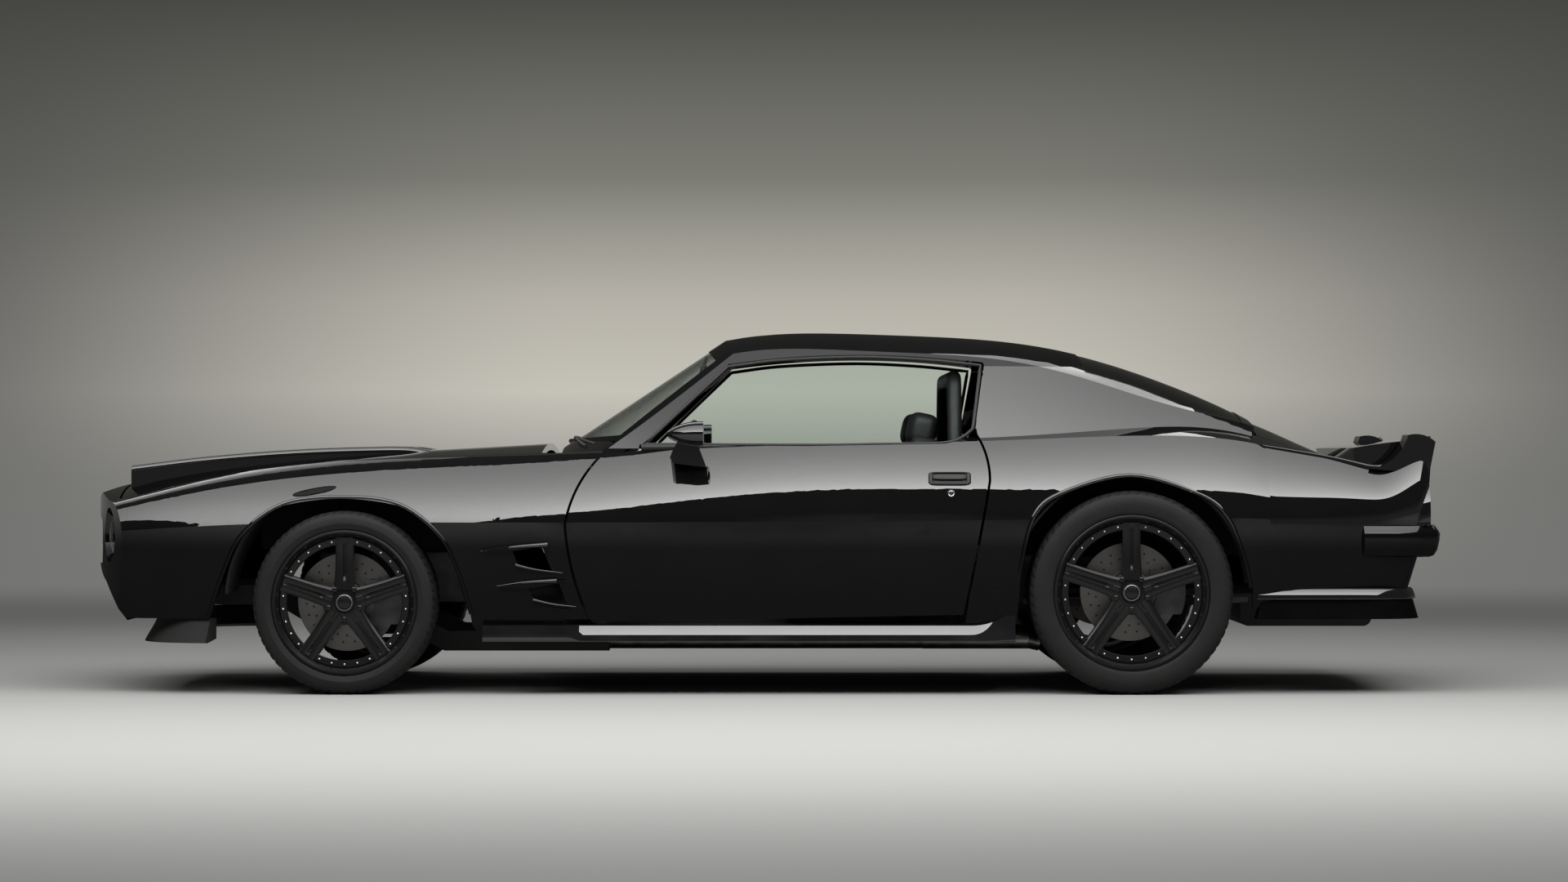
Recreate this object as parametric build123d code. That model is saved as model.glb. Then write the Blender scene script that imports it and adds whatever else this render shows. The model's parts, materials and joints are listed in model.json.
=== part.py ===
"""Two-door fastback muscle car, in millimetres.

X runs rearward, Y to the car's right and Z up. The origin lies on the ground
under the middle of the car.
"""
import os
from math import asin, cos, hypot, radians, sin

from build123d import *

# Overall sizes
LENGTH = 4860.0
NOSE_X = -LENGTH / 2
TAIL_X = LENGTH / 2
WHEELBASE = 2743.0
FRONT_AXLE_X = -1467.0
REAR_AXLE_X = FRONT_AXLE_X + WHEELBASE

# Fits
SKIN = 25.0
SHUT_GAP = 9.0
SEAT_GAP = 0.3
PIN_FIT = 0.3

# Body sections along X
BODY_STATIONS = [
    # x, bottom half width, crease half width, crease z, shoulder half width, shoulder z, centre z
    (-2300, 725, 782, 566, 622, 672, 730),
    (-1900, 820, 885, 590, 690, 765, 797),
    (-1467, 865, 926, 600, 712, 813, 838),
    (-1000, 870, 926, 600, 725, 829, 866),
    (-690, 872, 924, 600, 740, 838, 885),
    (40, 878, 926, 603, 800, 868, 960),
    (770, 878, 928, 608, 800, 884, 990),
    (1276, 878, 932, 615, 790, 902, 1010),
    (1750, 850, 905, 612, 762, 868, 958),
    (2330, 760, 812, 600, 720, 770, 838),
]
BODY_BOTTOM_Z = 190.0
LOWER_BULGE = 10.0
UPPER_BULGE = 34.0

# Cabin sections along X
CABIN_STATIONS = [
    # x, base half width, rail half width, rail z, centre z
    (-760, 770, 560, 1192, 1255),
    (-100, 800, 572, 1197, 1262),
    (300, 806, 582, 1206, 1279),
    (780, 800, 576, 1180, 1258),
    (1051, 790, 566, 1130, 1222),
    (1341, 765, 572, 1040, 1143),
    (1640, 738, 590, 962, 1024),
    (1780, 725, 598, 915, 946),
]
CABIN_BASE_Z = 800.0
CABIN_BULGE = 14.0
ROOF_THICK = 28.0
GLASS_THICK = 6.0
GLASS_SINK = 4.0
SCREEN_RISE = (240.0, 158.0)
SCREEN_FOOT_X = -684.0
SCREEN_FOOT_Z = 901.0
SCREEN_SIDE_X = -455.0
SCREEN_SIDE_Y = 735.0
ROOF_SPLIT_Z = 1150.0
SCREEN_SPLIT_Z = 884.0
PILLAR_FOOT_Z = 858.0

# Panel lines
NOSE_SEAM_X = -2242.0
HOOD_FRONT_X = -2285.0
HOOD_REAR_X = -790.0
HOOD_HALF_FRONT = 588.0
HOOD_HALF_REAR = 682.0
FENDER_BOTTOM_Z = 262.0
COWL_REAR_X = -450.0
COWL_FRONT_X = -735.0
DECK_FRONT_X = 1690.0
LID_FRONT_X = 1740.0
LID_REAR_X = 2322.0
LID_HALF = 610.0
QUARTER_BOTTOM_Z = 370.0
BUMPER_TOP_Z = 590.0
BUMPER_BOTTOM_Z = 475.0
BUMPER_FRONT_X = 2085.0

# Door
DOOR_INNER_Y = 748.0
DOOR_RIM = 38.0
DOOR_HINGE_X = -600.0
DOOR_HINGE_Y = 893.0
DOOR_HINGE_Z = (410.0, 625.0)
DOOR_PIN_R = 7.0
DOOR_POCKET_H = 56.0
DOOR_POCKET_OUT = 13.0
POST_OUTER_Y = 722.0

# Hood and lid hinges
HOOD_HINGE_X = -815.0
HOOD_HINGE_Z = 823.0
LID_HINGE_X = LID_FRONT_X + 24.0
LID_HINGE_Z = 938.0
LID_FRONT_LEAN = 14.0
LID_PIN_Y = 130.0
PIN_R = 6.0

# Wheels
WHEELS = [
    # name, axle x, side, axle z, tyre half width, centre y, rim lip radius
    ("fl", FRONT_AXLE_X, -1, 320.0, 122.0, 790.0, 252.0),
    ("fr", FRONT_AXLE_X, 1, 320.0, 122.0, 790.0, 252.0),
    ("rl", REAR_AXLE_X, -1, 355.0, 150.0, 775.0, 270.0),
    ("rr", REAR_AXLE_X, 1, 355.0, 150.0, 775.0, 270.0),
]
SPOKES = 5
RIM_LIP = 14.0
DISC_R = 172.0
DISC_THICK = 28.0
DISC_Y = 770.0
SPINDLE_R = 25.0
KINGPIN_Y = 700.0
KINGPIN_R = 12.0

# Steering wheel
STEER_CENTRE = (-190.0, -365.0, 778.0)
STEER_TILT = 22.0
STEER_R = 182.0


def loop(start, *segments):
    """Closed face: a segment (end,) is a line and (through, end) an arc."""
    edges = []
    at = start
    for segment in segments:
        end = segment[-1]
        if len(segment) == 1:
            edges.append(Line(at, end))
        else:
            edges.append(ThreePointArc(at, segment[0], end))
        at = end
    edges.append(Line(at, start))
    return make_face(Curve() + edges)


def polygon(*points):
    """Closed face with straight sides."""
    return loop(points[0], *[(p,) for p in points[1:]])


def ribbon(points, thick):
    """Closed face along a bent line, thickened to its left."""
    normals = []
    for (x0, z0), (x1, z1) in zip(points, points[1:]):
        run = hypot(x1 - x0, z1 - z0)
        normals.append(((z0 - z1) / run, (x1 - x0) / run))
    offset_points = []
    for i, (x, z) in enumerate(points):
        before = normals[max(i - 1, 0)]
        after = normals[min(i, len(normals) - 1)]
        nx, nz = before[0] + after[0], before[1] + after[1]
        scale = 2 * thick / (nx * nx + nz * nz)
        offset_points.append((x + nx * scale, z + nz * scale))
    return polygon(*points, *reversed(offset_points))


def across(x):
    """Plane square to the car's length, its own axes Y and Z."""
    return Plane(origin=(x, 0, 0), x_dir=(0, 1, 0), z_dir=(1, 0, 0))


def side_prism(face, y0, y1):
    """Side outline (X, Z) run from y0 to y1."""
    return extrude(Plane.XZ.offset(-y1) * face, y1 - y0)


def plan_prism(face, z0, z1):
    """Plan outline (X, Y) run from z0 to z1."""
    return extrude(Plane.XY.offset(z0) * face, z1 - z0)


def front_prism(face, x0, x1):
    """Front outline (Y, Z) run from x0 to x1."""
    return extrude(across(x0) * face, x1 - x0)


def block(x0, x1, y0, y1, z0, z1):
    """Box between two corners."""
    return Pos((x0 + x1) / 2, (y0 + y1) / 2, (z0 + z1) / 2) * Box(x1 - x0, y1 - y0, z1 - z0)


def rod(start, end, radius):
    """Round bar between two points."""
    a, b = Vector(*start), Vector(*end)
    return extrude(Plane(origin=a, z_dir=(b - a).normalized()) * Circle(radius), (b - a).length)


def bulged(a, b, bulge):
    """Point beside the middle of the line from a to b, outward by bulge."""
    (y0, z0), (y1, z1) = a, b
    run = hypot(y1 - y0, z1 - z0)
    return ((y0 + y1) / 2 + bulge * (z1 - z0) / run, (z0 + z1) / 2 - bulge * (y1 - y0) / run)


def mirrored_section(x, right_points, arcs, top_z):
    """Closed section from its right side's points, bottom first, crowned over the centre."""
    edges = [Line((-right_points[0][0], right_points[0][1]), right_points[0])]
    for a, b, bulge in zip(right_points, right_points[1:], arcs):
        m = bulged(a, b, bulge)
        edges.append(ThreePointArc(a, m, b))
        edges.append(ThreePointArc((-a[0], a[1]), (-m[0], m[1]), (-b[0], b[1])))
    shoulder = right_points[-1]
    edges.append(ThreePointArc(shoulder, (0, top_z), (-shoulder[0], shoulder[1])))
    return across(x) * make_face(Curve() + edges)


def body_section(row, inset):
    """One section of the lower body, moved inward by inset."""
    x, w_bottom, w_crease, z_crease, w_shoulder, z_shoulder, z_centre = row
    points = [
        (w_bottom - inset, BODY_BOTTOM_Z),
        (w_crease - inset, z_crease),
        (w_shoulder - 0.6 * inset, z_shoulder - 0.9 * inset),
    ]
    return mirrored_section(x, points, (LOWER_BULGE, UPPER_BULGE), z_centre - inset)


def cabin_section(row, inset):
    """One section of the cabin above the belt, moved inward by inset."""
    x, w_base, w_rail, z_rail, z_centre = row
    points = [
        (w_base - 1.15 * inset, CABIN_BASE_Z),
        (w_rail - 0.6 * inset, z_rail - 0.9 * inset),
    ]
    return mirrored_section(x, points, (CABIN_BULGE,), z_centre - inset)


def body_form(inset):
    """Solid lower body, moved inward by inset."""
    return loft([body_section(row, inset) for row in BODY_STATIONS])


def screen_prism(inset):
    """Everything behind the windscreen's bent and leaning surface."""
    lean_x, lean_z = SCREEN_RISE
    drop = 300.0 / lean_z
    foot_x = SCREEN_FOOT_X + 1.8 * inset - lean_x * drop
    side_x = SCREEN_SIDE_X + 1.8 * inset - lean_x * drop
    outline = loop(
        (side_x + 2600, -SCREEN_SIDE_Y - 200),
        ((side_x + 130, -SCREEN_SIDE_Y - 200),),
        ((foot_x, 0), (side_x + 130, SCREEN_SIDE_Y + 200)),
        ((side_x + 2600, SCREEN_SIDE_Y + 200),),
    )
    base = Plane.XY.offset(SCREEN_FOOT_Z - 300.0) * outline
    return extrude(base, amount=1700.0, dir=(lean_x, 0, lean_z))


def cabin_form(inset):
    """Solid cabin, moved inward by inset."""
    return loft([cabin_section(row, inset) for row in CABIN_STATIONS]) & screen_prism(inset)


def both_sides(left):
    """A left-hand piece and its mirror image."""
    return [left, mirror(left, about=Plane.XZ)]


def save(name, *solids):
    """Write one sub-part."""
    shape = solids[0] if len(solids) == 1 else Compound(children=list(solids))
    export_step(shape, f"parts/{name}.step")


os.makedirs("parts", exist_ok=True)

body_outer = body_form(0.0)
body_inner = body_form(SKIN)
body_lining = body_form(SKIN + SEAT_GAP)
body_clear = body_form(-SEAT_GAP)
shell = body_outer - body_inner
cabin_outer = cabin_form(0.0)
cabin_shell = cabin_outer - cabin_form(ROOF_THICK)
glass_shell = cabin_form(GLASS_SINK) - cabin_form(GLASS_SINK + GLASS_THICK)
left_half = block(-2600, 2600, -1200, 0, 0, 1500)

# Side outlines
door_face = loop(
    (-530, 870),
    ((-640, 742), (-693, 590)),
    ((-668, 430), (-604, 252)),
    ((690, 278),),
    ((755, 614), (778, 745)),
    ((768, 830), (727, 921)),
    ((690, 894), (620, 874)),
    ((150, 866),),
)
door_behind = loop(
    (-530, 870),
    ((-640, 742), (-693, 590)),
    ((-668, 430), (-604, 252)),
    ((-590, 150),),
    ((900, 150),),
    ((900, 1000),),
    ((-530, 1000),),
)
glass_face = loop(
    (-424, 869.5),
    ((-128, 1150),),
    ((325, 1183), (766, 1155)),
    ((729, 925),),
    ((690, 894 + SEAT_GAP), (620, 874 + SEAT_GAP)),
    ((150, 866 + SEAT_GAP),),
)
front_arch = loop(
    (-1985, 150),
    ((-1885, 430),),
    ((-1819, 557), (-1680, 659)),
    ((-1480, 683), (-1280, 659)),
    ((-1141, 557), (-1075, 430)),
    ((-985, 150),),
)
rear_arch = loop(
    (868, 150),
    ((890, 430),),
    ((935, 612), (1029, 696)),
    ((1270, 759), (1497, 699)),
    ((1600, 625), (1660, 490)),
    ((1708, 262),),
    ((1715, 150),),
)

# Plan outlines
hood_face = loop(
    (HOOD_FRONT_X, -HOOD_HALF_FRONT),
    ((HOOD_FRONT_X - 22, 0), (HOOD_FRONT_X, HOOD_HALF_FRONT)),
    ((HOOD_REAR_X, HOOD_HALF_REAR),),
    ((HOOD_REAR_X, -HOOD_HALF_REAR),),
)
hood_hole = plan_prism(offset(hood_face, SHUT_GAP), 500, 1100)
cowl_hole = block(HOOD_REAR_X - 1, COWL_REAR_X + 200, -HOOD_HALF_REAR - SHUT_GAP,
                  HOOD_HALF_REAR + SHUT_GAP, 500, 1100)
lid_face = polygon(
    (LID_FRONT_X, -LID_HALF), (LID_FRONT_X, LID_HALF),
    (LID_REAR_X, LID_HALF - 20), (LID_REAR_X, -LID_HALF + 20),
)
lid_hole = plan_prism(offset(lid_face, SHUT_GAP), 560, 1100)
rear_screen_face = loop(
    (1140, -498),
    ((1128, 0), (1140, 498)),
    ((DECK_FRONT_X, 572),),
    ((DECK_FRONT_X + 12, 0), (DECK_FRONT_X, -572)),
)
screen_face = loop(
    (-655, 905),
    ((0, 893), (655, 905)),
    ((505, 1172),),
    ((0, 1212), (-505, 1172)),
)

# Front fenders with two slanting air outlets behind the wheel
VENTS = [
    # top front corner x, top z
    (-882.0, 505.0),
    (-824.0, 376.0),
]
fender = (shell & left_half) & block(NOSE_SEAM_X, COWL_REAR_X, -1000, -500, FENDER_BOTTOM_Z, 1000)
fender -= side_prism(front_arch, -1100, -400)
fender -= side_prism(offset(door_behind, SHUT_GAP), -1100, -400)
fender -= hood_hole
fender -= cowl_hole
for vent_x, vent_z in VENTS:
    mouth = loop(
        (vent_x, vent_z),
        ((vent_x + 105, vent_z + 12),),
        ((vent_x + 140, vent_z - 78),),
        ((vent_x + 75, vent_z - 70), (vent_x + 22, vent_z - 54)),
    )
    fender -= side_prism(mouth, -1000, -800) & body_form(-5.0)
for vent_x, vent_z in VENTS:
    blade = loop(
        (vent_x - 105, vent_z + 2),
        ((vent_x, vent_z + 18), (vent_x + 125, vent_z + 24)),
        ((vent_x + 20, vent_z - 2), (vent_x - 105, vent_z + 1)),
    )
    fender += side_prism(blade, -935, -880) & (body_form(-12.0) - body_inner)
for name, solid in zip(("left", "right"), both_sides(fender)):
    save(f"fender_{name}", solid)

# Nose with split grille openings and lamp pockets
LAMP_Y = 610.0
LAMP_Z = 552.0
LAMP_R = 96.0
LAMP_DOME = 24.0
GRILLE_FACE = loop((72, 446), ((72, 606),), ((250, 622), (420, 600)), ((440, 520), (420, 446)))
nose_plan = loop(
    (NOSE_SEAM_X, -830),
    ((-2376, -430), (NOSE_X, 0)),
    ((-2376, 430), (NOSE_SEAM_X, 830)),
)
nose_side = loop(
    (NOSE_SEAM_X, FENDER_BOTTOM_Z - 8),
    ((-2346, 386),),
    ((-2415, 470), (NOSE_X, 564)),
    ((-2422, 640), (-2391, 690)),
    ((-2300, 740), (-2200, 790)),
    ((NOSE_SEAM_X, 790),),
)
nose_form = (body_outer & block(-2400, NOSE_SEAM_X - SEAT_GAP, -1000, 1000, 0, 1000))
nose_form += extrude(body_section(BODY_STATIONS[0], 0.0), -140)
nose = nose_form & plan_prism(nose_plan, 200, 900) & side_prism(nose_side, -1000, 1000)
nose -= hood_hole
nose -= block(-2300, -2200, -680, 680, 300, 640)
for sign in (-1, 1):
    opening = GRILLE_FACE if sign > 0 else mirror(GRILLE_FACE, about=Plane.YZ)
    nose -= front_prism(opening, -2500, -2200)
    nose -= rod((-2500, sign * LAMP_Y, LAMP_Z), (-2260, sign * LAMP_Y, LAMP_Z), LAMP_R)
save("nose_fascia", nose)

# Grilles: slats between two uprights, set back in the openings
grilles = []
for sign in (-1, 1):
    face = offset(GRILLE_FACE, -SEAT_GAP)
    frame = front_prism(face - offset(GRILLE_FACE, -12), -2330, -2303)
    inner = front_prism(offset(GRILLE_FACE, -11), -2326, -2306)
    for k in range(7):
        frame += inner & block(-2326, -2306, 60, 450, 458 + k * 22, 465 + k * 22)
    for k in range(3):
        frame += inner & block(-2322, -2310, 150 + k * 90, 156 + k * 90, 430, 630)
    grilles.append(frame if sign > 0 else mirror(frame, about=Plane.XZ))
save("grilles", *grilles)

# Round lamps: a bowl and a domed glass in each pocket
headlamps = []
for sign in (-1, 1):
    r = LAMP_R - SEAT_GAP
    lens_r = r - 8
    tip = -2300 - LAMP_DOME
    bow = (lens_r * lens_r + LAMP_DOME * LAMP_DOME) / (2 * LAMP_DOME)
    half = asin(lens_r / bow) / 2
    through = (tip + bow - bow * cos(half), bow * sin(half))
    dome = loop((-2275, 0), ((-2275, r),), ((-2300, r),), ((-2300, lens_r),), (through, (tip, 0)))
    lamp = revolve(Plane.XY * dome, axis=Axis.X)
    headlamps.append(Pos(0, sign * LAMP_Y, LAMP_Z) * lamp)
save("headlamps", *headlamps)

# Chin spoiler under the nose
chin_plan = loop(
    (-1948, -865),
    ((-2130, -836),),
    ((-2215, -740), (-2232, -560)),
    ((-2245, 0), (-2232, 560)),
    ((-2215, 740), (-2130, 836)),
    ((-1948, 865),),
)
chin_side = polygon((-1985, 176), (-2250, 190), (-2250, 205), (-2180, 254), (-1930, 254), (-1955, 200))
chin = plan_prism(chin_plan, 150, 300) & side_prism(chin_side, -1000, 1000)
chin -= plan_prism(offset(chin_plan, -70), 100, 300) + block(-2090, -1900, -766, 766, 100, 300)
chin_top = plan_prism(offset(chin_plan, -30), 254, FENDER_BOTTOM_Z - SEAT_GAP)
chin_top -= plan_prism(offset(chin_plan, -60), 200, 300) + block(-2090, -1900, -776, 776, 200, 300)
chin += chin_top & block(-2236, -2010, -1000, 1000, 200, 300)
save("chin_spoiler", chin)

# Hood with twin forward scoops
SCOOP_INNER_Y = 185.0
SCOOP_OUTER_Y = 352.0
hood = shell & plan_prism(hood_face, 560, 1100)
nose_cap = extrude(body_section(BODY_STATIONS[0], 0.0), -10) - extrude(body_section(BODY_STATIONS[0], SKIN), -10)
hood += nose_cap & plan_prism(hood_face, 560, 1100)
scoop_side = loop(
    (-2284, 660),
    ((-2284, 796),),
    ((-1813, 846), (-1400, 864)),
    ((-1300, 864), (-1180, 842)),
    ((-1180, 760),),
)
for sign in (-1, 1):
    y_near, y_far = sorted((sign * SCOOP_INNER_Y, sign * SCOOP_OUTER_Y))
    scoop = side_prism(scoop_side, y_near, y_far) - body_form(SKIN - 2) - extrude(
        body_section(BODY_STATIONS[0], SKIN - 2), -60)
    top_edges = scoop.edges().filter_by(lambda e: abs(e.center().Z - 835) < 45 and e.length > 380)
    scoop = fillet(top_edges, 16)
    hood += scoop
    hood -= block(-2300, -2080, y_near + 14, y_far - 14, 734, 784)
for sign in (-1, 1):
    y_near, y_far = sorted((sign * 610, sign * 650))
    ear = block(HOOD_HINGE_X - 22, HOOD_HINGE_X + 15, y_near, y_far, HOOD_HINGE_Z - 16, HOOD_HINGE_Z + 4)
    hood += ear & body_form(2.0)
    strap_room = sorted((sign * 650, sign * 674))
    hood -= block(HOOD_HINGE_X - 24, HOOD_REAR_X + 2, *strap_room, HOOD_HINGE_Z - 60, HOOD_HINGE_Z + 14)
    hood -= rod((HOOD_HINGE_X, y_near - 1, HOOD_HINGE_Z), (HOOD_HINGE_X, y_far + 1, HOOD_HINGE_Z), PIN_R + PIN_FIT)
save("hood", hood)

# Cowl: trough, screen foot and hood hinge pins
cowl_outer = body_form(60.0)
cowl = (cowl_outer - body_form(72.0)) & block(HOOD_REAR_X + 6, -600, -700, 700, 600, 1000)
foot = cabin_shell & block(COWL_FRONT_X, COWL_REAR_X - 40, -690, 690, 600, SCREEN_SPLIT_Z - SEAT_GAP)
foot -= front_prism(screen_face, -900, -300)
foot &= body_form(-26.0)
foot += front_prism(polygon((-690, 770), (690, 770), (690, 800), (-690, 800)), -700, -640) & body_form(30.0)
cowl += foot
for sign in (-1, 1):
    y_near, y_far = sorted((sign * 656, sign * 668))
    bracket = side_prism(ribbon([(HOOD_HINGE_X - 10, HOOD_HINGE_Z), (HOOD_HINGE_X - 3, HOOD_HINGE_Z - 8),
                                 (-764, 764)], 13.0), y_near, y_far)
    cowl += bracket
    cowl += rod((HOOD_HINGE_X, sign * 613, HOOD_HINGE_Z), (HOOD_HINGE_X, sign * 660, HOOD_HINGE_Z), PIN_R)
save("cowl_panel", cowl)

# Roof with windscreen posts
side_opening = side_prism(offset(glass_face, SHUT_GAP), -1000, 1000)
side_opening += side_prism(polygon((-480, 600), (-444, 872), (0, 900), (742, 928), (790, 600)), -1000, 1000)
rear_opening = plan_prism(rear_screen_face, 850, 1400)
roof = cabin_shell - front_prism(screen_face, -900, 0) - rear_opening - side_opening
roof -= block(700, 2000, -1000, 1000, 0, ROOF_SPLIT_Z)
roof -= block(-900, -400, -1000, 1000, 0, PILLAR_FOOT_Z)
roof -= block(-900, -400, -690 - SEAT_GAP, 690 + SEAT_GAP, 600, SCREEN_SPLIT_Z)
save("roof", *[s for s in roof.solids() if s.volume > 1e6])

# Windscreens
windscreen = glass_shell & front_prism(offset(screen_face, -SEAT_GAP), -900, 0)
save("windscreen", windscreen)
rear_screen = glass_shell & plan_prism(offset(rear_screen_face, -SEAT_GAP), 850, 1400)
save("rear_screen", rear_screen)

# Quarter panels with sail panels and spoiler ends
quarter = (shell & left_half) & block(500, 2330, -1000, -560, QUARTER_BOTTOM_Z, 1100)
sail = cabin_shell & block(700, DECK_FRONT_X + 30, -1000, -300, 820, ROOF_SPLIT_Z - SEAT_GAP)
sail -= rear_opening
sail -= side_opening
quarter += sail
quarter -= lid_hole
quarter -= block(500, DECK_FRONT_X + 60, -606, 0, 300, 860)
quarter -= block(DECK_FRONT_X - 2, LID_FRONT_X + 40, -606, 0, 300, 1100)
quarter -= side_prism(rear_arch, -1100, -400)
quarter -= side_prism(offset(door_face, SHUT_GAP), -1100, -400)
quarter -= side_prism(polygon((0, 0), (690 + SHUT_GAP, 0), (690 + SHUT_GAP, 300), (760, 700), (735, 860), (735, 935),
                              (0, 935)), -1100, -400)
quarter -= block(BUMPER_FRONT_X, 2600, -1100, 0, 0, BUMPER_TOP_Z + SEAT_GAP)
spoiler_end = side_prism(loop((2120, 786), ((2190, 812), (2256, 905)), ((2310, 905), (2352, 881)), ((2330, 770),)),
                         -775, -LID_HALF - SHUT_GAP)
quarter += spoiler_end - body_form(SKIN - 3)
quarter_solids = sorted(quarter.solids(), key=lambda s: s.volume)
for name, solid in zip(("left", "right"), both_sides(quarter_solids[-1])):
    save(f"quarter_{name}", solid)

# Deck strip below the rear screen, with the lid's hinge pins
deck = (shell + cabin_shell) & block(DECK_FRONT_X, LID_FRONT_X - SHUT_GAP, -606 + SEAT_GAP, 606 - SEAT_GAP, 860, 1100)
deck -= plan_prism(rear_screen_face, 850, 1400)
deck = sorted(deck.solids(), key=lambda s: s.volume)[-1]
for sign in (-1, 1):
    arm = side_prism(ribbon([(1700, 962), (1710, 884), (1788, 876), (LID_HINGE_X + 6, LID_HINGE_Z + 3)], 11.0),
                     sign * LID_PIN_Y - 6, sign * LID_PIN_Y + 6)
    deck += arm & body_form(SKIN - 10)
    deck += rod((LID_HINGE_X, sign * LID_PIN_Y, LID_HINGE_Z),
                (LID_HINGE_X, sign * (LID_PIN_Y + 45), LID_HINGE_Z), PIN_R)
save("rear_deck", deck)

# Trunk lid with the spoiler's middle
lid = shell & plan_prism(lid_face, 560, 1100)
lid -= side_prism(polygon((LID_FRONT_X - 1, LID_HINGE_Z - 4), (LID_FRONT_X + LID_FRONT_LEAN, LID_HINGE_Z + 40),
                          (LID_FRONT_X - 1, LID_HINGE_Z + 40)), -700, 700)
duck = side_prism(loop((2085, 860), ((2220, 880), (2330, 889)), ((2352, 878),), ((2314, 740),), ((2100, 740),)),
                  -LID_HALF + 30, LID_HALF - 30)
lid += duck - body_form(SKIN - 3) - block(2300, 2400, -1000, 1000, 600, 770)
for sign in (-1, 1):
    y_near, y_far = sorted((sign * (LID_PIN_Y + 12), sign * (LID_PIN_Y + 46)))
    lid += block(LID_HINGE_X - 12, LID_HINGE_X + 30, y_near, y_far, LID_HINGE_Z - 12, LID_HINGE_Z + 4) & body_form(2.0)
    lid -= rod((LID_HINGE_X, y_near - 1, LID_HINGE_Z), (LID_HINGE_X, y_far + 1, LID_HINGE_Z), PIN_R + PIN_FIT)
    lid -= block(LID_FRONT_X - 1, LID_HINGE_X + 34, sign * LID_PIN_Y - 12, sign * LID_PIN_Y + 12, 850, LID_HINGE_Z + 12)
save("trunk_lid", lid)

# Tail panel and lamps
TAIL_FACE_X = 2318.0
LAMP_BAND = (640.0, 742.0)
tail_plate = extrude(body_section(BODY_STATIONS[-1], SKIN + 22.0), -26)
tail_plate = Pos(TAIL_FACE_X - 2330, 0, 0) * tail_plate
tail_plate &= block(2200, 2400, -1000, 1000, BUMPER_BOTTOM_Z, 766)
for sign in (-1, 1):
    tail_plate -= block(2200, 2400, *sorted((sign * 712, sign * 1000)), 0, BUMPER_TOP_Z + 2)
tail_lamps = []
for sign in (-1, 1):
    y_near, y_far = sorted((sign * 190, sign * 640))
    tail_plate -= block(2306, 2400, y_near, y_far, *LAMP_BAND)
    lens = block(2306 + SEAT_GAP, 2322, y_near + SEAT_GAP, y_far - SEAT_GAP, LAMP_BAND[0] + SEAT_GAP, LAMP_BAND[1] - SEAT_GAP)
    for k in range(3):
        lens -= block(2316, 2330, y_near, y_far, LAMP_BAND[0] + 22 + 25 * k, LAMP_BAND[0] + 28 + 25 * k)
    tail_lamps.append(lens)
save("tail_panel", tail_plate)
save("tail_lamps", *tail_lamps)

# Rear bumper
bumper_plan = loop(
    (BUMPER_FRONT_X + 4, -868),
    ((2290, -840), (2368, -760)),
    ((TAIL_X, 0), (2368, 760)),
    ((2290, 840), (BUMPER_FRONT_X + 4, 868)),
    ((BUMPER_FRONT_X + 4, 815),),
    ((2250, 790), (2322, 715)),
    ((2370, 0), (2322, -715)),
    ((2250, -790), (BUMPER_FRONT_X + 4, -815)),
)
bumper = plan_prism(bumper_plan, BUMPER_BOTTOM_Z, BUMPER_TOP_Z)
for sign in (-1, 1):
    bumper += block(TAIL_FACE_X + SEAT_GAP, 2360, sign * 420 - 30, sign * 420 + 30, 500, 560)
save("rear_bumper", bumper)

# Rear apron: flared ledge round the tail and a sloping valance above it
apron_plan = loop(
    (1712, -897),
    ((2110, -872),),
    ((2250, -820), (2300, -690)),
    ((2340, 0), (2300, 690)),
    ((2250, 820), (2110, 872)),
    ((1712, 897),),
)
apron = extrude(Plane.XY.offset(262) * apron_plan, 104, taper=16)
apron -= plan_prism(offset(apron_plan, -75), 200, 400) + block(1600, 2100, -800, 800, 200, 400)
valance = plan_prism(offset(apron_plan, -62), 330, BUMPER_BOTTOM_Z - SEAT_GAP)
valance -= plan_prism(offset(apron_plan, -86), 300, 500) + block(1600, BUMPER_FRONT_X, -1000, 1000, 300, 500)
apron += valance
apron += (shell & block(1700, BUMPER_FRONT_X, -1000, 1000, 300, QUARTER_BOTTOM_Z - SEAT_GAP)) - side_prism(
    offset(rear_arch, 2), -1100, 1100)
save("rear_apron", *[s for s in apron.solids() if s.volume > 1e5])

# Side skirts
SKIRT_SECTION = loop((-862, 242), ((-884, 242),), ((-902, 226), (-930, 204)), ((-930, 190),), ((-862, 184),))
skirt = front_prism(SKIRT_SECTION, -984, 884)
skirt -= side_prism(offset(rear_arch, 4), -1100, -400)
save("side_skirts", *both_sides(skirt))

# Doors
door = (shell & left_half) & side_prism(door_face, -1100, -DOOR_INNER_Y)
inner_face = offset(door_face, -DOOR_RIM) + polygon((-440, 700), (-440, 868), (150, 866), (620, 874), (680, 700))
door += (body_outer & side_prism(inner_face, -1100, -DOOR_INNER_Y)) & side_prism(door_face, -1100, -DOOR_INNER_Y)
for hinge_z in DOOR_HINGE_Z:
    door -= block(-720, DOOR_HINGE_X + 20, -DOOR_HINGE_Y - DOOR_POCKET_OUT, -600, hinge_z - DOOR_POCKET_H / 2, hinge_z + DOOR_POCKET_H / 2)
    reach = DOOR_POCKET_H / 2 + 16
    door -= rod((DOOR_HINGE_X, -DOOR_HINGE_Y, hinge_z - reach - 1), (DOOR_HINGE_X, -DOOR_HINGE_Y, hinge_z + reach + 1),
                DOOR_PIN_R + PIN_FIT)
handle = loop((567, 770), ((640, 788), (716, 774)), ((640, 756), (568, 762)))
door += side_prism(handle, -880, -850) - body_inner
for name, solid in zip(("left", "right"), both_sides(door)):
    save(f"door_{name}", solid)

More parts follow.
